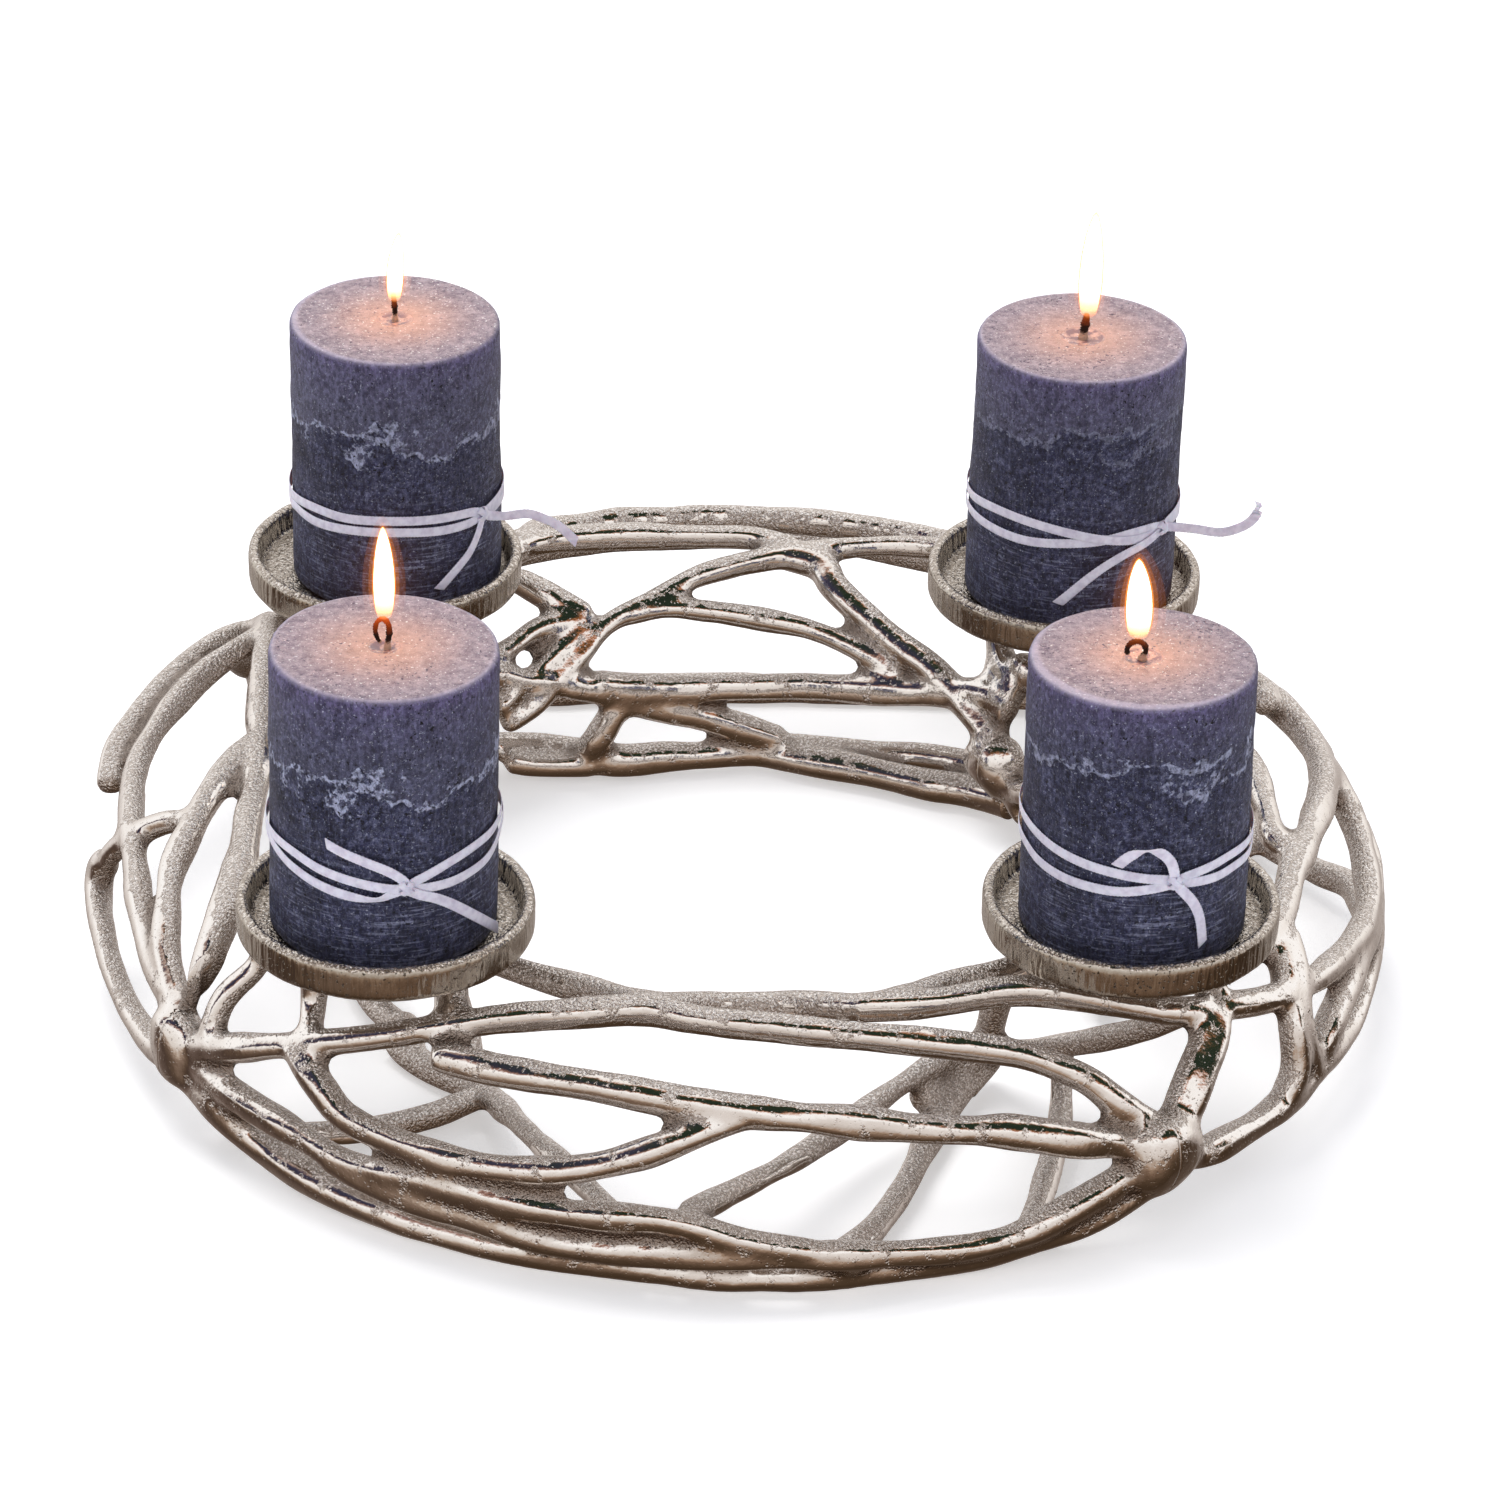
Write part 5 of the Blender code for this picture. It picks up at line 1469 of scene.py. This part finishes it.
def burntCotton():
    # a braided wick soaked in wax at its foot, charred above, with a glowing crook
    made, tree, shader, place = newMaterial("braided cotton wick")
    burnt = addNode(tree, "Attribute", attribute_name="burnt").outputs["Fac"]
    fibres = {"Vector": place, "Scale": 1 / cottonLook["fibre"], "Detail": 2}
    speckle = addNode(tree, "TexNoise", fibres).outputs["Fac"]
    uneven = {0: speckle, 3: -cottonLook["unevenness"], 4: cottonLook["unevenness"]}
    fray = addNode(tree, "MapRange", uneven).outputs[0]
    level = addNode(tree, "Math", {0: burnt, 1: fray}, operation="ADD").outputs[0]
    colour = addNode(tree, "ValToRGB", {"Fac": level}, stops=cottonLook["char"]).outputs["Color"]
    tree.links.new(colour, shader.inputs["Base Color"])
    shader.inputs["Roughness"].default_value = 0.6
    shader.inputs["Specular IOR Level"].default_value = 0.15
    ember = addNode(tree, "ValToRGB", {"Fac": level}, stops=cottonLook["ember"]).outputs["Color"]
    tree.links.new(ember, shader.inputs["Emission Color"])
    shader.inputs["Emission Strength"].default_value = cottonLook["emberStrength"]
    bumps = {"Height": speckle, "Strength": 0.6, "Distance": cottonLook["fibreDepth"] * mm}
    tree.links.new(addNode(tree, "Bump", bumps).outputs[0], shader.inputs["Normal"])
    return made


flameLook = {
    "heart": [(0.04, "#ff9a5a"), (0.20, "#ffcf9a"), (0.34, "#fff0d8"), (0.80, "#fff2d4"), (1.0, "#ffd890")],
    "mantle": "#ff9238",
    "clearTo": 0.32,        # share of the height up to which its foot is see-through
}


def burningGas(name):
    # burning wax vapour: clear at its foot, white at its heart, with an orange mantle and glow round it
    made, tree, shader, _ = newMaterial(f"burning wax vapour {name}")
    rise = addNode(tree, "Attribute", attribute_name="rise").outputs["Fac"]
    heart = addNode(tree, "Attribute", attribute_name="heart").outputs["Fac"]
    colour = addNode(tree, "ValToRGB", {"Fac": rise}, stops=flameLook["heart"]).outputs["Color"]
    mantle = {0: heart, 6: linear(flameLook["mantle"]), 7: colour}
    glow = addNode(tree, "Mix", mantle, data_type="RGBA").outputs[2]
    shader.inputs["Base Color"].default_value = (0, 0, 0, 1)
    shader.inputs["Specular IOR Level"].default_value = 0.0
    tree.links.new(glow, shader.inputs["Emission Color"])
    blaze = addNode(tree, "Attribute", attribute_name="blaze").outputs["Fac"]
    tree.links.new(blaze, shader.inputs["Emission Strength"])
    clear = {0: rise, 1: 0.0, 2: flameLook["clearTo"]}
    thin = addNode(tree, "MapRange", clear, interpolation_type="SMOOTHSTEP").outputs[0]
    body = addNode(tree, "Attribute", attribute_name="body").outputs["Fac"]
    alpha = addNode(tree, "Math", {0: thin, 1: body}, operation="MULTIPLY").outputs[0]
    tree.links.new(alpha, shader.inputs["Alpha"])
    return made


# The stage: floor, surroundings, lights and the glow round the flames

stage = {
    "floor": "#f4f3f1",
    "floorFleck": "#f6f5f4",
    "fleckSize": 40,        # millimetres
    "floorGlow": 0.41,      # the board is lit from beneath, as a light table is
    "floorReach": 30.0,     # metres each way
    "surround": 0.7,        # strength of the even light from all round
    "surroundColour": "#f4f6ff",
    "mirror": 1.2,          # strength of what the metal mirrors
    "mirrorStir": 0.12,     # how uneven it is, in radians
    "mirrorSides": (-0.25, -0.6),   # where the right room ends and the left one begins
    "key": 30.0,
    "keyPlace": (-0.5, 0.7, 2.2),
    "keySize": 1.6,
    "flameLight": 0.018,
    "flameSize": 4,         # millimetres
    "flameColour": "#ffb060",
    "bloomThreshold": 2.2,
    "bloomStrength": 0.3,
    "bloomSize": 0.35,
    "bloomTint": "#ff9a4a",
}
# What the metal mirrors, as (angle in degrees, colour): 0 is the horizon behind the camera, 90 overhead,
# 180 the horizon beyond the wreath and -90 straight below
roomRight = [
    (-180, "#e0dad6"), (-155, "#b0a6a0"), (-120, "#54463c"), (-90, "#3c2e22"), (-60, "#4c3c2e"),
    (-32, "#705a4a"), (-19, "#a48c78"), (-8, "#beb4ac"), (6, "#d4ccc6"), (24, "#e0dad6"),
    (38, "#f4f2f0"), (49, "#ffffff"), (54, "#b8703c"), (58, "#1a261c"), (90, "#222e1e"),
    (95, "#b06c3c"), (101, "#f4f0ec"), (130, "#ffffff"), (160, "#f4f0ec"), (180, "#e0dad4"),
]
roomLeft = [
    (-180, "#ece8e6"), (-155, "#c8c0ba"), (-120, "#6c5c54"), (-90, "#483a32"), (-60, "#5a493c"),
    (-32, "#806c5e"), (-18, "#ae9c8c"), (-6, "#ccc2ba"), (8, "#ded8d2"), (24, "#e8e4e0"),
    (38, "#f8f6f4"), (48, "#ffffff"), (54, "#a07868"), (60, "#2c2a3a"), (86, "#38364a"),
    (92, "#a08474"), (99, "#f4f2f0"), (130, "#ffffff"), (160, "#f6f4f2"), (180, "#ece8e4"),
]


def buildSurroundings():
    # plain pale to the camera, even to matt surfaces, and a room with a dark beam overhead in the mirrors
    world = bpy.data.worlds.new("surroundings")
    bpy.context.scene.world = world
    world.use_nodes = True
    tree = world.node_tree
    tree.nodes.clear()
    way = addNode(tree, "TexCoord").outputs["Generated"]
    parts = addNode(tree, "SeparateXYZ", {0: way})
    ahead = addNode(tree, "Math", {0: parts.outputs["Y"], 1: -1.0}, operation="MULTIPLY").outputs[0]
    angle = addNode(tree, "Math", {0: parts.outputs["Z"], 1: ahead}, operation="ARCTAN2").outputs[0]
    stir = addNode(tree, "TexNoise", {"Vector": way, "Scale": 3.0, "Detail": 3}).outputs["Fac"]
    most = stage["mirrorStir"]
    stirred = addNode(tree, "MapRange", {0: stir, 1: 0.3, 2: 0.7, 3: -most, 4: most}).outputs[0]
    bent = addNode(tree, "Math", {0: angle, 1: stirred}, operation="ADD").outputs[0]
    turn = addNode(tree, "MapRange", {0: bent, 1: -math.pi, 2: math.pi}).outputs[0]
    views = []
    for room in (roomRight, roomLeft):
        stops = [((degrees + 180) / 360, colour) for degrees, colour in room]
        views.append(addNode(tree, "ValToRGB", {"Fac": turn}, stops=stops).outputs["Color"])
    rightEnd, leftStart = stage["mirrorSides"]
    toLeft = addNode(tree, "MapRange", {0: parts.outputs["X"], 1: rightEnd, 2: leftStart}).outputs[0]
    mirrored = addNode(tree, "Mix", {0: toLeft, 6: views[0], 7: views[1]}, data_type="RGBA").outputs[2]
    path = addNode(tree, "LightPath").outputs
    around = linear(stage["surroundColour"])
    even = addNode(tree, "Background", {"Color": around, "Strength": stage["surround"]}).outputs[0]
    mirror = addNode(tree, "Background", {"Color": mirrored, "Strength": stage["mirror"]}).outputs[0]
    seen = addNode(tree, "Background", {"Color": linear("#ffffff"), "Strength": 1.0}).outputs[0]
    first = addNode(tree, "MixShader", {0: path["Is Glossy Ray"], 1: even, 2: mirror}).outputs[0]
    last = addNode(tree, "MixShader", {0: path["Is Camera Ray"], 1: first, 2: seen}).outputs[0]
    tree.links.new(last, addNode(tree, "OutputWorld").inputs[0])


def paleFloor():
    # matt painted board, plain and pale
    made, tree, shader, place = newMaterial("matt painted board")
    flecks = {"Vector": place, "Scale": 1 / stage["fleckSize"], "Detail": 2}
    fleck = addNode(tree, "TexNoise", flecks).outputs["Fac"]
    colours = {0: fleck, 6: linear(stage["floor"]), 7: linear(stage["floorFleck"])}
    tree.links.new(addNode(tree, "Mix", colours, data_type="RGBA").outputs[2], shader.inputs["Base Color"])
    shader.inputs["Roughness"].default_value = 0.9
    shader.inputs["Specular IOR Level"].default_value = 0.1
    shader.inputs["Emission Color"].default_value = linear("#ffffff")
    shader.inputs["Emission Strength"].default_value = stage["floorGlow"]
    return made


def layFloor():
    reach = stage["floorReach"]
    mesh = bpy.data.meshes.new("floor")
    square = [(-reach, -reach, 0), (reach, -reach, 0), (reach, reach, 0), (-reach, reach, 0)]
    mesh.from_pydata(square, [], [(0, 1, 2, 3)])
    mesh.materials.append(paleFloor())
    floor = bpy.data.objects.new("floor", mesh)
    bpy.context.collection.objects.link(floor)
    floor.visible_glossy = False


def hangKey():
    key = bpy.data.lights.new("key", "AREA")
    key.shape = "DISK"
    key.size = stage["keySize"]
    key.energy = stage["key"]
    lamp = bpy.data.objects.new("key", key)
    bpy.context.collection.objects.link(lamp)
    lamp.location = stage["keyPlace"]
    lamp.rotation_mode = "QUATERNION"
    lamp.rotation_quaternion = (-lamp.location).to_track_quat("-Z", "Y")
    lamp.visible_camera = False
    lamp.visible_glossy = False


def lightFlames():
    # a small warm lamp in each flame, for the glow on the wax and on the metal nearby
    for name in corners:
        sideways, base, tip = flames[name][:3]
        lamp = bpy.data.lights.new(f"flame_light_{name}", "POINT")
        lamp.energy = stage["flameLight"]
        lamp.color = linear(stage["flameColour"])[:3]
        lamp.shadow_soft_size = stage["flameSize"] * mm
        holder = bpy.data.objects.new(f"flame_light_{name}", lamp)
        bpy.context.collection.objects.link(holder)
        place = candleTop(name) + (sideways, 0, (base + tip) / 2)
        holder.location = (place * mm).tolist()
        holder.visible_camera = False
        holder.visible_glossy = False


def glowRoundFlames():
    # light spilling round the flames, as it does in a lens
    scene = bpy.context.scene
    scene.use_nodes = True
    tree = scene.node_tree
    tree.nodes.clear()
    picture = tree.nodes.new("CompositorNodeRLayers")
    glare = tree.nodes.new("CompositorNodeGlare")
    glare.glare_type = "BLOOM"
    glare.quality = "HIGH"
    glare.inputs["Threshold"].default_value = stage["bloomThreshold"]
    glare.inputs["Strength"].default_value = stage["bloomStrength"]
    glare.inputs["Size"].default_value = stage["bloomSize"]
    glare.inputs["Tint"].default_value = linear(stage["bloomTint"])
    output = tree.nodes.new("CompositorNodeComposite")
    tree.links.new(picture.outputs["Image"], glare.inputs["Image"])
    tree.links.new(glare.outputs["Image"], output.inputs["Image"])


# Putting it together

ribbonSatin = satin()
for name in corners:
    tieRibbon(name, ribbonSatin)
ringMetal = castMetal("nickel plated cast aluminium", ringFinish)
dishMetal = castMetal("turned cast aluminium", dishFinish)
cotton = burntCotton()
for name in sections:
    castSection(name, ringMetal)
for name in corners:
    castDish(name, dishMetal)
    pillar(name)
    wick(name, cotton)
    flame(name)
print("dishes, candles, wicks and flames made")
buildSurroundings()
layFloor()
hangKey()
lightFlames()
glowRoundFlames()
bpy.context.scene.view_settings.view_transform = "Standard"
print("stage set")
